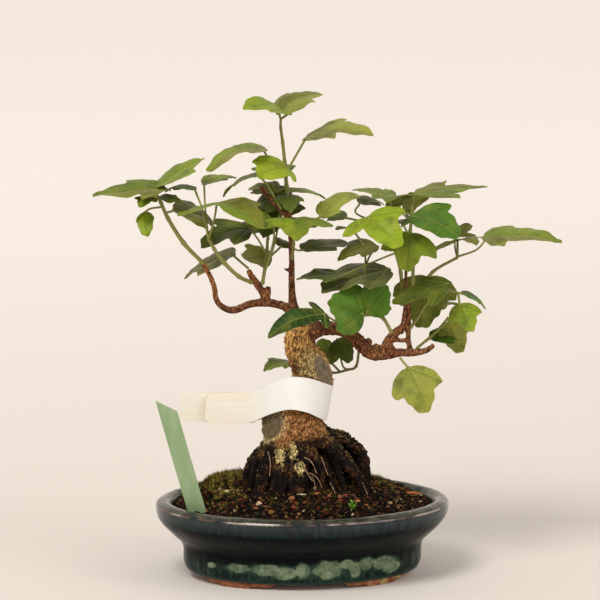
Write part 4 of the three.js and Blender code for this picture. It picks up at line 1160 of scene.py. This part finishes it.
def edge_reach(angle, shape):
    """How far the edge lies from the base at this angle in degrees, over the leaf's length."""
    def lobe(at, length, spread):
        """How far one lobe reaches at this angle."""
        return length * math.exp(-((abs(angle - at) / (spread * shape["slim"])) ** 1.5))

    left, right = shape["left"], shape["right"]
    lobes = lobe(0, 1, 52), lobe(*left, 37), lobe(-right[0], right[1], 37)
    reach = max(sum(part**7 for part in lobes) ** (1 / 7), 0.06)
    return reach / 1.012 if angle == 0 else reach  # the point itself is blunted a little


def vein_turn(angle, shape):
    """The angle with the side veins at -1 and 1 and the middle vein at 0."""
    side = shape["left"][0] if angle > 0 else shape["right"][0]
    return angle / side if abs(angle) < side else math.copysign(1 + (abs(angle) - side) / 46, angle)


def shape_blade(name, shape, seed):
    """One leaf blade as a mesh, with its veins' map, its colour, a thickness and a pale rim."""
    base, tip = Vector(shape["base"]), Vector(shape["tip"])
    axis = tip - base
    length = axis.length
    axis.normalize()
    normal = Vector(shape["facing"])
    normal = (normal - axis * normal.dot(axis)).normalized()
    side = normal.cross(axis)
    points, veins = [], []
    for corner in disc_shape[0]:
        share, angle = math.hypot(corner.x, corner.y), math.degrees(math.atan2(corner.y, corner.x))
        reach = edge_reach(angle, shape)
        wobble = noise.noise(Vector((angle * 0.11, seed, 0)))
        teeth = 1 + 0.022 * math.sin(angle * 0.42 + seed) * share**6 + 0.02 * wobble
        out = share * reach * teeth
        s, q = out * math.cos(math.radians(angle)), out * math.sin(math.radians(angle))
        turn = vein_turn(angle, shape)
        from_vein = abs(turn - max(-1, min(1, round(turn)))) * out * 0.8
        height = shape["arch"] * 4 * s * (1 - s) + 0.12 * abs(q) - 0.25 * q * q
        wave = 0.05 * noise.noise(Vector((s * 2.6, q * 2.6, seed * 3.1))) * share
        wave += 0.022 * noise.noise(Vector((s * 6.5, q * 6.5, seed * 1.7))) * share
        groove = -0.014 * math.exp(-((from_vein / 0.03) ** 2)) * min(1, out * 4)
        at = base + axis * (s * length) + side * (q * length) + normal * ((height + wave + groove) * length)
        points.append(place(*at))
        veins.append((turn, out))
    mesh = bpy.data.meshes.new(name)
    mesh.from_pydata(points, [], disc_shape[1])
    blade_map = mesh.uv_layers.new(name="blade")
    for loop in mesh.loops:
        blade_map.data[loop.index].uv = veins[loop.vertex_index]
    dice = random.Random(seed)
    shade, half_lighting = dice.uniform(0.9, 1.12), dice.uniform(-0.12, 0.12)
    halves = shape["tint"].split()  # one tint, or one for the half on the left and one for the right
    # One half of the blade is painted lighter than the other, as painted light on the fold, and the blade
    # grows a little paler towards its edge.
    colours = []
    for turn, out in veins:
        share = soft_step(turn * out, -0.08, 0.08)
        tone = blend_colours(leaf_tones_and_light[halves[-1]], leaf_tones_and_light[halves[0]], share)
        colours.append([c * shade * (1 + half_lighting * (2 * share - 1)) * (0.9 + 0.18 * out) for c in tone])
    paint_points(mesh, colours)
    made = bpy.data.objects.new(name, mesh)
    bpy.context.scene.collection.objects.link(made)
    for finish in (leaf_top, leaf_under, leaf_rim):
        mesh.materials.append(finish.material)
    apply_modifier(made, "SOLIDIFY", thickness=0.35 * mm, offset=0, material_offset=1, material_offset_rim=2)
    return made


# The tints are the leaves' greens with painted light and shade in them: lime is painted light shining through
# a leaf, grey a painted sheen, deep and dark painted shade, and fresh and pale painted light where it falls.
leaf_tones_and_light = {
    "mid": srgb(107, 126, 22), "rich": srgb(76, 118, 14), "fresh": srgb(128, 148, 22),
    "lime": srgb(142, 164, 16), "olive": srgb(118, 120, 34), "pale": srgb(152, 157, 60),
    "deep": srgb(80, 94, 14), "dark": srgb(38, 66, 16), "grey": srgb(102, 110, 52),
}
print("tints:", ", ".join(leaf_tones_and_light))

# %% [markdown]
# The veins are drawn by the shader from the blade's own map. Its first number is the turn, with a main
# vein at -1, 0 and 1, and its second is the way out from the base. Side veins branch off in slanting
# rows, a fine net fills the fields between them, and the fields swell a little. Below, the leaf is
# paler and duller, and its veins stand out.

# %% Paint the leaves
def vein_pattern(finish):
    """The shares of main vein, side vein and fine net at a place on the blade."""
    blade = finish.node("ShaderNodeUVMap", {"uv_map": "blade"})
    parts = finish.node("ShaderNodeSeparateXYZ", None, {0: blade})
    turn, out = parts, Wire(finish, parts.socket.node.outputs[1])
    wander = finish.cloud(220, 2, 0.5) - 0.5
    from_main = abs(turn - finish.node("ShaderNodeClamp", None, {0: turn.maths("ROUND", turn), 1: -1, 2: 1}))
    across = from_main * out * 0.8 + wander * 0.004
    main = across.ramp(0.014, 0.005) * out.ramp(1.05, 0.6).most(0.5)
    slant = out * 8.5 - across * 7.5 + wander * 0.5
    rows = slant.maths("PINGPONG", slant, 0.5)
    side = rows.ramp(0.09, 0.02) * across.ramp(0.30, 0.1)
    net = finish.cells(900, "DISTANCE_TO_EDGE").ramp(0.12, 0.02)
    return main, side, net


def leaf_finish(name, rough, pale, strength, veins_stand):
    """One side of the leaf: pale is how far it fades, strength how clear the veins are, and veins_stand how
    far they stand out, or sink in where it is below 0."""
    finish = Finish(name, Roughness=rough, Specular_IOR_Level=0.32)
    own = finish.node("ShaderNodeAttribute", {"attribute_name": "tint"})
    main, side, net = vein_pattern(finish)
    mottle = finish.cloud(120, 4, 0.6)
    field = finish.mix(own, srgb(136, 140, 62), pale)
    field = finish.mix(field, srgb(30, 50, 10), mottle.ramp(0.46, 0.7) * 0.5)
    field = finish.mix(field, srgb(160, 166, 52), finish.cloud(55, 2).ramp(0.5, 0.75) * 0.35)
    field = finish.mix(field, srgb(40, 62, 14), net * 0.22)
    colour = finish.mix(field, srgb(170, 178, 86), side * strength * 0.4)
    colour = finish.mix(colour, srgb(164, 172, 78), main * strength)
    finish.set(Base_Color=colour, Roughness=rough + mottle * 0.14 + main * 0.1)
    relief = main * veins_stand + side * veins_stand * 0.25 + net * 0.1 * veins_stand + mottle * 1.6
    finish.bump(relief, 0.0006, 0.9)
    return finish


leaf_top = leaf_finish("leaf_upper_side", 0.36, 0.0, 0.45, -1.0)
leaf_under = leaf_finish("leaf_lower_side", 0.6, 0.45, 0.6, 1.0)
leaf_rim = Finish("leaf_edge", Roughness=0.5)
own_colour = leaf_rim.node("ShaderNodeAttribute", {"attribute_name": "tint"})
paler = leaf_rim.cloud(300, 2).ramp(0.3, 0.8) * 0.55
leaf_rim.set(Base_Color=leaf_rim.mix(own_colour, srgb(176, 178, 96), paler))
leaf_rim.bump(leaf_rim.cloud(2000, 2), 0.0001, 0.4)
stalk_skin = Finish("green_stem", Roughness=0.45)
own_colour = stalk_skin.node("ShaderNodeAttribute", {"attribute_name": "tint"})
lines = stalk_skin.cloud(1, 3, 0.6, stalk_skin.stretch((2600, 2600, 300)))
stalk_skin.set(Base_Color=stalk_skin.mix(own_colour, srgb(120, 84, 50), lines.ramp(0.55, 0.72) * 0.4))
stalk_skin.bump(lines, 0.0001, 0.6)
print("leaf finishes:", leaf_top.material.name, leaf_under.material.name, leaf_rim.material.name)

# %% [markdown]
# ## Where every leaf sits
#
# The rows below are the tree itself, shoot by shoot. A stem is a few points with a thickness, and each
# leaf has a stalk, a base, a tip and a facing direction. Its colour is a short name, or two of them where
# its halves differ. A name holds the leaf's own green together with painted light and shade, because no
# two leaves of a tree catch the light alike.

# %% Give the shoots
shoots = {
    "top_shoot": {
        "stem": [(-7, 0.5, 194.4, 1), (-8, 1, 201.5, 1), (-9, 1, 214, 0.9), (-10, 1, 224, 0.8),
                 (-11, 1, 231.5, 0.7), (-11, 1, 236.5, 0.6)],
        "leaves": [
            leaf([(-11, 1, 236)], (-7, 2, 238.5), (-31, -9, 243.5), (-0.25, -0.36, 1), "fresh",
                 left=(34, 0.75), right=(46, 0.55)),
            leaf([(-11, 1, 236)], (-12, 0, 239.5), (11, 11, 247), (-0.3, -0.2, 1), "olive pale"),
            leaf([(-8, 1, 209)], (2, 2, 226), (36, -7, 228), (0, -0.1, 1), "pale olive", slim=0.8),
            leaf([(-9, 1, 211), (-16, 0, 215)], (-21, -2, 222), (-49, -9, 211), (-0.4, -0.1, 1),
                 "olive fresh", left=(60, 0.6), right=(60, 0.6)),
            leaf([(-8, 1, 206)], (-8, -7, 212), (-25, -18, 210), (0, -1, 0.9), "lime", left=(75, 0.5),
                 right=(25, 0.95)),
            leaf([(-8, 1, 198)], (-6, 5, 198), (13, 11, 193), (0, 0, 1), "mid"),
            leaf([(-8, 1, 199)], (-8, -5, 198), (-8, -17, 191), (0, -1, 0.6), "deep"),
            leaf([(-8, 1, 201)], (-12, 15, 196), (-25, 27, 196), (0, -0.3, 1), "olive"),
            leaf([(-9, 1, 208)], (-10, 13, 206), (-16, 34, 205), (0, -0.2, 1), "mid"),
            leaf([(-8, 1, 198)], (-5, 12, 194), (-24, 20, 187), (0, -0.5, 1), "deep"),
        ],
    },
    "left_shoot": {
        "stem": [(-51.7, -4, 164, 1), (-61, -4, 174, 1.1), (-69, -5.5, 187, 1), (-72.5, -6, 195, 0.9),
                 (-76, -7, 201.5, 0.8)],
        "leaves": [
            leaf([(-76, -7, 201)], (-70, -9, 202.5), (-107, -8, 199), (0, -0.15, 1), "olive mid",
                 left=(50, 0.55), right=(42, 0.7), arch=0.04, slim=0.8),
            leaf([(-76, -7, 201)], (-75, -5, 203), (-50, 3, 216), (-0.5, -0.1, 1), "fresh", left=(40, 0.6),
                 right=(40, 0.8), arch=0.03),
            leaf([(-75, -7, 199)], (-78, -11, 199), (-84, -20, 195), (-0.3, -0.6, 1), "mid"),
            leaf([(-75, -7, 199)], (-73, -6, 198), (-60.5, -9, 193.5), (0.2, -0.15, 1), "deep"),
            leaf([(-72, -6, 193), (-78, -5, 192)], (-80.5, -4, 190), (-80, -12, 178.5), (-0.3, -1, 0.6),
                 "lime", left=(40, 0.5), right=(40, 0.5), slim=0.85),
            leaf([(-70, -6, 190)], (-65, 1.5, 189.8), (-43.5, 9, 179), (0.3, -0.3, 1), "olive",
                 right=(46, 0.75)),
        ],
    },
    "crossing_shoot": {
        "stem": [(-26.9, -4.8, 153.4, 1), (-33.5, -11, 157.5, 1), (-41, -14, 165, 1),
                 (-46.4, -16, 172.7, 0.9), (-49.5, -18.5, 178.4, 0.8)],
        "leaves": [
            leaf([(-49.5, -18, 178), (-52, -16, 192)], (-55, -1, 201), (-70, 5, 199), (0, 0.05, 1), "mid"),
            leaf([(-49.5, -18, 178), (-50.5, -12, 192.5)], (-49.3, 11, 202), (-32.3, 17, 203.3), (0, 0, 1),
                 "fresh"),
            leaf([(-49.5, -18, 178), (-46.5, -18, 188)], (-45, -16, 196), (-24, -36, 186), (0.15, -0.22, 1),
                 "olive mid", right=(100, 0.8)),
        ],
    },
    "spur_shoot": {
        "stem": [(-20.5, -1.9, 152.7, 0.9), (-19, 0, 161, 0.9), (-18, 1.5, 168.5, 0.8),
                 (-17.5, 3.5, 174.5, 0.7)],
        "leaves": [
            leaf([(-17, 4, 174)], (-18, 10, 182), (-28, 17, 188), (0, -1, 0.7), "mid"),
            leaf([(-19, 1, 168), (-23, 0, 175)], (-27, -1, 180), (-53, -7, 172), (-0.3, -0.4, 1), "deep",
                 slim=0.85),
            leaf([(-18, 2, 165)], (-17, 6, 167), (-29, 17, 163), (0, -0.8, -0.4), "olive"),
            leaf([(-19, 1, 163)], (-9, 21, 167), (-7, 31, 169), (0.4, -0.6, 1), "deep"),
            leaf([(-17, 4, 174)], (-18, 20, 178), (-23, 42, 175), (0, -0.4, 1), "deep mid"),
            leaf([(-20, -0.5, 156), (-14, 2, 172)], (-11, 8, 186), (-2, 24, 190), (0, -0.3, 1), "deep"),
            leaf([(-19.7, -1, 157), (-15, -2, 174)], (-15, -2, 183), (-27, -6, 186), (0, -0.6, 1), "mid"),
        ],
    },
    "spur_tip_leaf": {
        "leaves": [
            leaf([(-28, -3.3, 160.2)], (-35.2, 7, 165.6), (-58.7, 20, 152.4), (-0.3, -0.12, 1), "olive",
                 arch=0.05),
        ],
    },
    "cut_branch_leaf": {
        "leaves": [
            leaf([(-10.6, 1.8, 189.4), (-16.5, 3, 200), (-18, 3, 202.5)], (-22.5, 1, 207.5), (-40, 6, 196),
                 (-0.4, 0.1, 1), "fresh"),
        ],
    },
    "leader_shoot": {
        "stem": [(-5.4, -1.8, 165.5, 0.8), (-5, -4.5, 172.5, 0.8), (-5.5, -6.5, 179.5, 0.8)],
        "leaves": [
            leaf([(-6, -7, 180)], (-6, -11, 187), (-6, -34, 179), (0, -0.6, 1), "mid fresh", left=(55, 0.95),
                 right=(55, 0.95)),
            leaf([(-6, -7, 180), (2, -12, 184)], (9, -9, 188), (29, -1, 197), (0, -0.12, 1), "pale",
                 left=(60, 0.5), right=(60, 0.5)),
            leaf([(-5, -4, 170), (-2, -3, 169)], (1, 7, 167.5), (26, 14, 169.5), (0, -0.05, 1), "deep",
                 arch=0.04),
            leaf([(-6, -7, 180), (-3, -3, 180)], (-1, 12, 179), (7, 35, 174), (0, -0.35, 1), "deep mid"),
            leaf([(-6, -7, 179)], (-10, 6, 183), (-29, 10, 177), (0, -0.6, 1), "deep"),
        ],
    },
    "tall_right_shoot": {
        "stem": [(52.5, -5, 159.6, 0.9), (53, -5, 168.5, 0.9), (54.5, -5, 178, 0.9), (55.5, -5.5, 188, 0.8),
                 (56, -3.5, 194, 0.7)],
        "leaves": [
            leaf([(55.5, -5, 189.5)], (51, 1, 194), (42, -14, 195), (-0.2, -0.05, 1), "mid", left=(46, 0.7),
                 right=(120, 0.8)),
            leaf([(56, -3, 194)], (58, -2, 197), (95, 1, 200), (0, -0.04, 1), "olive mid",
                 arch=0.02, slim=0.75),
            leaf([(55, -5, 183)], (53, 11, 187), (67, 16, 193), (-0.2, 0.9, 0.5), "pale", left=(46, 0.6),
                 right=(46, 0.6)),
            leaf([(55.4, -5.4, 187), (43, -18, 191)], (31, -25, 189), (46, -39, 176), (0, -1, 0.5), "lime",
                 left=(52, 0.79), right=(96, 0.66)),
            leaf([(54, -5, 176)], (53, 15, 179), (47, 38, 171), (0, -0.3, 1), "deep"),
            leaf([(55, -5, 183)], (61, 14, 179), (71, 34, 176), (0, -0.2, 1), "deep mid"),
        ],
    },
    "front_right_shoot": {
        "stem": [(55, -14.5, 146.3, 0.9), (55, -14.5, 154.5, 0.9), (55, -13.5, 161.5, 0.9),
                 (54, -13, 170, 0.8), (53, -14, 175, 0.7)],
        "leaves": [
            leaf([(53, -14, 175), (53, -19, 183)], (54, -23, 189), (76, -37, 180), (0.2, -0.8, 1), "rich",
                 left=(50, 0.74), right=(95, 0.35)),
            leaf([(53, -14, 175)], (53, -17, 179), (50, -26, 161), (0, -1, 0.4), "fresh", left=(54, 0.9),
                 right=(52, 0.85)),
            leaf([(55, -13, 166)], (59, 8, 166), (56, 31, 159), (0, -0.1, 1), "mid"),
        ],
    },
    "back_right_shoot": {
        "stem": [(50, -9, 142, 0.9), (50.5, 1, 156, 0.9), (48, 3.5, 167, 0.9), (46.5, 5.5, 176, 0.8),
                 (45, 5.5, 185.5, 0.7)],
        "leaves": [
            leaf([(45, 6, 185)], (46, 4, 195), (27, 14, 197), (0, -0.02, 1), "fresh", left=(60, 0.6),
                 right=(60, 0.6), arch=0.05),
            leaf([(46, 6, 179), (29, 11, 185)], (31, 15, 190), (44, 22, 188), (0, -0.2, 1), "olive"),
            leaf([(46, 6, 179), (33, 11, 181)], (23, 12, 183), (12, 19, 182), (0, -0.25, 1), "deep"),
            leaf([(48.3, 3.2, 166), (38, -4, 163.5), (24, -8, 158.5)], (20, -9, 157), (-4, -12, 155.5),
                 (0, -0.05, 1), "deep", arch=0.05),
        ],
    },
    "inner_shoot": {
        "stem": [(43.8, -13.8, 128.5, 0.9), (40, -13.5, 135, 0.9), (35.5, -11.5, 136.5, 0.9),
                 (31, -11, 136.5, 0.8)],
        "leaves": [
            leaf([(40, -13, 135), (41, -4, 147)], (43, -2, 158), (8, -13, 149), (-0.25, -0.22, 1), "grey",
                 arch=0.05),
            leaf([(31, -11, 136)], (29, -15, 138), (11, -19, 145), (0, -1, 0.5), "rich", left=(50, 0.9),
                 right=(50, 0.9), slim=1.5),
            leaf([(31, -11, 136)], (32, -13, 139), (42, -14, 152), (0, -1, 0.4), "rich", slim=1.3),
            leaf([(31, -11, 136), (31, -7, 150), (33, -1, 162)], (38, 2, 170), (18, -2, 163), (0, -0.2, 1),
                 "olive"),
            leaf([(31, -7, 152), (32, 1, 168)], (27, 5, 177), (17, -2, 179), (0, 0, 1), "olive"),
            leaf([(31, -10, 140)], (36, 9, 141), (29, 31, 132), (0, -0.1, 1), "mid"),
        ],
    },
    "trunk_top_leaf": {
        "leaves": [
            leaf([(21, -8.1, 130.1), (16, -16, 134)], (9, -21, 139), (-20, -26, 129), (-0.2, -0.5, 1), "dark",
                 left=(75, 0.4), right=(75, 0.4), slim=0.7),
        ],
    },
    "under_branch_shoot": {
        "stem": [(28.4, -6.3, 118.1, 0.7), (27.5, -0.5, 108, 0.7), (23.5, 6, 105, 0.7), (17, 14.5, 102, 0.6),
                 (6.5, 25.5, 103.5, 0.6)],
        "leaves": [
            leaf([(7.5, 24.6, 103.4)], (-4, 25, 106), (-18, 18, 103), (-0.25, -0.25, 1), "mid"),
            leaf([(20, 10.5, 103.5)], (17, 20, 106), (12, 29, 117), (0, -1, 0.5), "mid"),
            leaf([(23.5, 6, 105), (21, 6, 108)], (19, 10, 120), (25, 4, 109), (0, -1, 0.5), "deep"),
        ],
    },
    "low_right_shoot": {
        "stem": [(54.1, -16.1, 131, 0.8), (58, -12.5, 135.5, 0.8), (63, -10, 142.5, 0.8),
                 (69, -11.5, 147, 0.8), (74, -15, 149, 0.7), (78.5, -15.5, 147.5, 0.7)],
        "leaves": [
            leaf([(69, -12, 147)], (72, -22, 154), (43, -27, 144.5), (-0.35, -0.35, 1), "deep",
                 right=(46, 0.5), arch=0.05, slim=0.8),
            leaf([(63, -10, 142), (66, -8, 150)], (63.5, -5, 154), (61.5, 0, 127), (0, 1, 0.3), "mid",
                 left=(55, 0.72), right=(55, 0.72), slim=1.2),
            leaf([(78, -16, 148)], (78, -22, 143), (83, -30, 130), (0.1, -1, 0.5), "fresh"),
            leaf([(78, -16, 148)], (80, -12, 147), (93, -9, 138), (0.5, -0.1, 1), "rich", slim=0.7),
            leaf([(63, -10, 142)], (66, 8, 139), (72, 31, 129), (0, -0.1, 1), "mid"),
        ],
    },
    "branch_end_shoot": {
        "stem": [(58, -12.5, 119.6, 0.7), (68, -6.5, 126.5, 0.7), (74.5, -5, 133.5, 0.6)],
        "leaves": [
            leaf([(73.8, -5.2, 132.6)], (75, -5, 131), (81, -2, 114), (0, 1, 0.4), "pale", left=(42, 0.6),
                 right=(42, 0.6)),
            leaf([(60.5, -11, 121.3)], (66, 0, 122), (83, 4, 120), (0, -0.3, 1), "rich"),
        ],
    },
    "hanging_leaf": {
        "leaves": [
            leaf([(48.5, -12.9, 114.6)], (53, -15, 109), (61, -22, 87), (0, -1, 0.45), "pale"),
        ],
    },
    "far_right_shoot": {
        "stem": [(57.8, -11.9, 147.2, 0.8), (65.5, -10.5, 158, 0.8), (78, -11.5, 165.5, 0.7)],
        "leaves": [
            leaf([(78, -12, 166), (87, -12, 169), (91, -13, 173)], (92, -13, 176), (130, -23, 175),
                 (0, -0.1, 1), "fresh olive", left=(60, 0.6), right=(60, 0.6), arch=0.05, slim=0.85),
            leaf([(78, -12, 166)], (79, -4, 173), (87, -18, 173), (0, 0, 1), "olive", right=(120, 0.9)),
            leaf([(78, -11.5, 165.5), (78, -2, 169)], (79, 8, 173), (89, 18, 177), (0.2, -0.4, 1), "olive",
                 slim=0.6),
        ],
    },
}
print("shoots:", len(shoots), "leaves:", sum(len(shoot["leaves"]) for shoot in shoots.values()))

# %% [markdown]
# A shoot is one green stem with its leaves on thin stalks. The stem is drawn as a tube through its
# points, thicker at each joint where a pair of leaves comes off, and each stalk swells a little at both
# ends, as a real one does. Stem, stalks and blades are then joined into one piece.

# %% Grow the shoots
stem_brown, stalk_green = srgb(122, 92, 54), srgb(140, 146, 66)
stalk_colours = {
    "top_shoot": srgb(124, 134, 50), "left_shoot": srgb(138, 144, 60),
    "under_branch_shoot": srgb(110, 120, 46),
}


def coloured_tube(name, line, colour, sides=2):
    """A tube with the stems' finish and this colour."""
    made = tube(name, line, sides)
    paint_points(made.data, colour)
    made.data.materials.append(stalk_skin.material)
    return made


def grow_shoot(name, shoot, seed):
    """The stem, stalks and blades of one shoot as one piece."""
    pieces = []
    colour = stalk_colours.get(name, stalk_green)
    if "stem" in shoot:
        line = flow(shoot["stem"], 6)
        swollen = [(*row[:3], row[3] * (1.0 + 0.25 * (k % 6 == 0))) for k, row in enumerate(line)]
        rooted = Vector(line[0][:3]) - (Vector(line[1][:3]) - Vector(line[0][:3])).normalized() * 1.3
        swollen.insert(0, (*rooted, line[0][3]))
        pieces.append(coloured_tube("stem", swollen, blend_colours(colour, stem_brown, 0.3), 3))
    for number, shape in enumerate(shoot["leaves"]):
        base = Vector(shape["base"])
        inward = base + (Vector(shape["tip"]) - base).normalized() * 1.2
        rows = [(*point, 0.62 if k == 0 else 0.5) for k, point in enumerate([*shape["stalk"], shape["base"]])]
        rows[-1] = (*rows[-1][:3], 0.6)
        pieces.append(coloured_tube("stalk", [*flow(rows, 5), (*inward, 0.3)], colour))
        pieces.append(shape_blade("blade", shape, seed * 20 + number))
    whole = pieces[-1]
    join_into(whole, pieces[:-1])
    whole.name = whole.data.name = f"{name}_growth"
    clear_selection()
    whole.select_set(True)
    bpy.ops.object.shade_smooth_by_angle(angle=math.radians(60))
    stand_for(whole, name)
    return whole


total = 0
for seed, (name, shoot) in enumerate(shoots.items()):
    total += len(grow_shoot(name, shoot, seed + 1).data.polygons)
print("faces of all the shoots:", total)

# %% [markdown]
# ## Name stake
#
# A strip of soft mint-green plastic with a slanted top, pushed into the soil at a lean. It is bare here.
# It starts as a flat grid, so that it can bow a little, and gets its thickness and its softened edges
# from modifiers.

# %% Cut the stake
stake_foot, stake_top = Vector((-53.9, -21, 31)), Vector((-72.2, -21, 96.4))
stake_width, stake_slant = 10.6, 6.8  # mm, and the slant is how much lower its right corner lies
stake_turn = 35.7  # degrees from facing front
stake_length = (stake_top - stake_foot).length
clear_selection()
bpy.ops.mesh.primitive_grid_add(x_subdivisions=6, y_subdivisions=40, size=1)
name_stake = bpy.context.object
name_stake.name = name_stake.data.name = "name_stake_strip"
for point in name_stake.data.vertices:
    across, up = point.co.x, point.co.y + 0.5
    tall = stake_length - stake_slant / 2 - stake_slant * across
    point.co = Vector((across * stake_width, up * tall, 0.4 * math.sin(up * 2.6) - 0.2)) * mm
apply_modifier(name_stake, "SOLIDIFY", thickness=0.8 * mm, offset=0)
apply_modifier(name_stake, "BEVEL", width=0.15 * mm, segments=2, limit_method="ANGLE")
up = (stake_top - stake_foot).normalized()
turn = math.radians(stake_turn)
facing = Vector((-math.sin(turn), -math.cos(turn), 0))
facing = (facing - up * facing.dot(up)).normalized()
stand = Matrix((up.cross(facing), up, facing)).transposed().to_4x4()
name_stake.data.transform(Matrix.Translation(place(*stake_foot)) @ stand)
clear_selection()
name_stake.select_set(True)
bpy.context.view_layer.objects.active = name_stake
bpy.ops.object.shade_smooth_by_angle(angle=math.radians(40))

mint = Finish("mint_plastic", Roughness=0.45)
low = mint.axis("Z").ramp(0.062, 0.04)
smears = mint.cloud(1, 4, 0.6, mint.stretch((160, 160, 45)))
spots = mint.cells(420).ramp(0.16, 0.08) * mint.cloud(210, 2).ramp(0.5, 0.6)
tone = mint.mix(srgb(140, 167, 122), srgb(158, 180, 140), smears.ramp(0.35, 0.7))
tone = mint.mix(tone, srgb(142, 166, 120), low * smears.ramp(0.45, 0.62) * 0.6)
mint.set(Base_Color=mint.mix(tone, srgb(96, 72, 34), spots * low * 0.9), Roughness=0.4 + smears * 0.12)
mint.bump(smears * 0.5 + spots * low, 0.0002, 0.4)
wear(name_stake, "stake_plastic", mint)
stand_for(name_stake, "name_stake")
print("stake length:", round(stake_length, 1), "mm")

# %% [markdown]
# ## Band label
#
# A strip of thin white plastic is looped loosely round the trunk and rides up in front, and its two tails
# lie together to the left. It is bare here. Its path is a line through a few points. A point says where
# the middle of the strip lies, how far the strip leans there and half its width. The line is extruded in
# ten steps, and each step is laid between the two edges that the path gives.

# %% Loop the band
band_path = [  # x, y, z, lean of the edges, half width
    (-62.9, 1.3, 88.3, 0.4, 7.8), (-40, 1.2, 87.6, 0.3, 8), (-26.5, 1.6, 87.3, 0.3, 8.1),
    (-22.8, 6.8, 87.4, 0.3, 8.2), (-16.5, 13, 88, 0.3, 8.3), (-6, 16.3, 88.3, 0.4, 8.5),
    (3, 15.4, 88.5, 0.7, 8.6), (10, 11.6, 88.6, 1.1, 8.8), (13.4, 6, 88.8, 1.5, 9),
    (14, 0, 89, 1.7, 9), (12.6, -6.5, 90.3, 1.6, 9.1), (9, -11.8, 92.6, 1.2, 9.1),
    (1, -16.6, 96.5, 0.6, 8.8), (-8, -16.4, 97.7, 0.2, 8.4), (-16, -11.5, 94.6, 0, 8),
    (-21.4, -5.5, 90.9, 0, 7.8), (-26, -1.6, 88.3, 0, 8), (-36, -1.2, 87.2, 0.2, 8.3),
    (-50, -1.3, 87.2, 0.3, 8.4),
]
line = flow(band_path, 6)
mesh = bpy.data.meshes.new("trunk_label_band")
mesh.from_pydata([Vector(row[:3]) * mm for row in line], [(k, k + 1) for k in range(len(line) - 1)], [])
trunk_label = bpy.data.objects.new("trunk_label_band", mesh)
bpy.context.scene.collection.objects.link(trunk_label)
clear_selection()
trunk_label.select_set(True)
bpy.context.view_layer.objects.active = trunk_label
bpy.ops.object.mode_set(mode="EDIT")
bpy.ops.mesh.select_mode(type="VERT")
bpy.ops.mesh.select_all(action="SELECT")
for _ in range(10):
    bpy.ops.mesh.extrude_region_move(TRANSFORM_OT_translate={"value": (0, 0, 1.75 * mm)})
bpy.ops.object.mode_set(mode="OBJECT")
for number, point in enumerate(trunk_label.data.vertices):
    x, y, z, lean, half = line[number % len(line)]
    level = (number // len(line)) / 5 - 1
    far = max(0, -40 - x) / 10  # the front tail's end is cut round
    rounded = 1 - (0.42 * far**6 if number % len(line) > len(line) / 2 else 0)
    bow = 0.3 * noise.noise(Vector((x * 0.06, 3, level * 0.7)))
    point.co = place(x + level * lean, y + bow, z + level * half * rounded)
apply_modifier(trunk_label, "SOLIDIFY", thickness=0.45 * mm, offset=0)
clear_selection()
trunk_label.select_set(True)
bpy.ops.object.shade_smooth_by_angle(angle=math.radians(50))

paper = Finish("white_band", Roughness=0.5)
tree_x = paper.axis("X") * (1 / mm) - pot_centre.x
tail = tree_x.ramp(-19, -30)
hatch = paper.cloud(1, 3, 0.6, paper.stretch((40, 400, 700)))
tone = paper.mix(srgb(243, 244, 240), srgb(247, 247, 243), paper.cloud(60, 2).ramp(0.4, 0.6))
tone = paper.mix(tone, paper.mix(srgb(245, 236, 219), srgb(248, 242, 228), hatch.ramp(0.42, 0.58)), tail)
paper.set(Base_Color=tone, Roughness=0.42 + hatch * 0.15)
paper.bump(hatch, 0.0001, 0.15)
wear(trunk_label, "label_plastic", paper)
stand_for(trunk_label, "trunk_label")
print("label faces:", len(trunk_label.data.polygons))
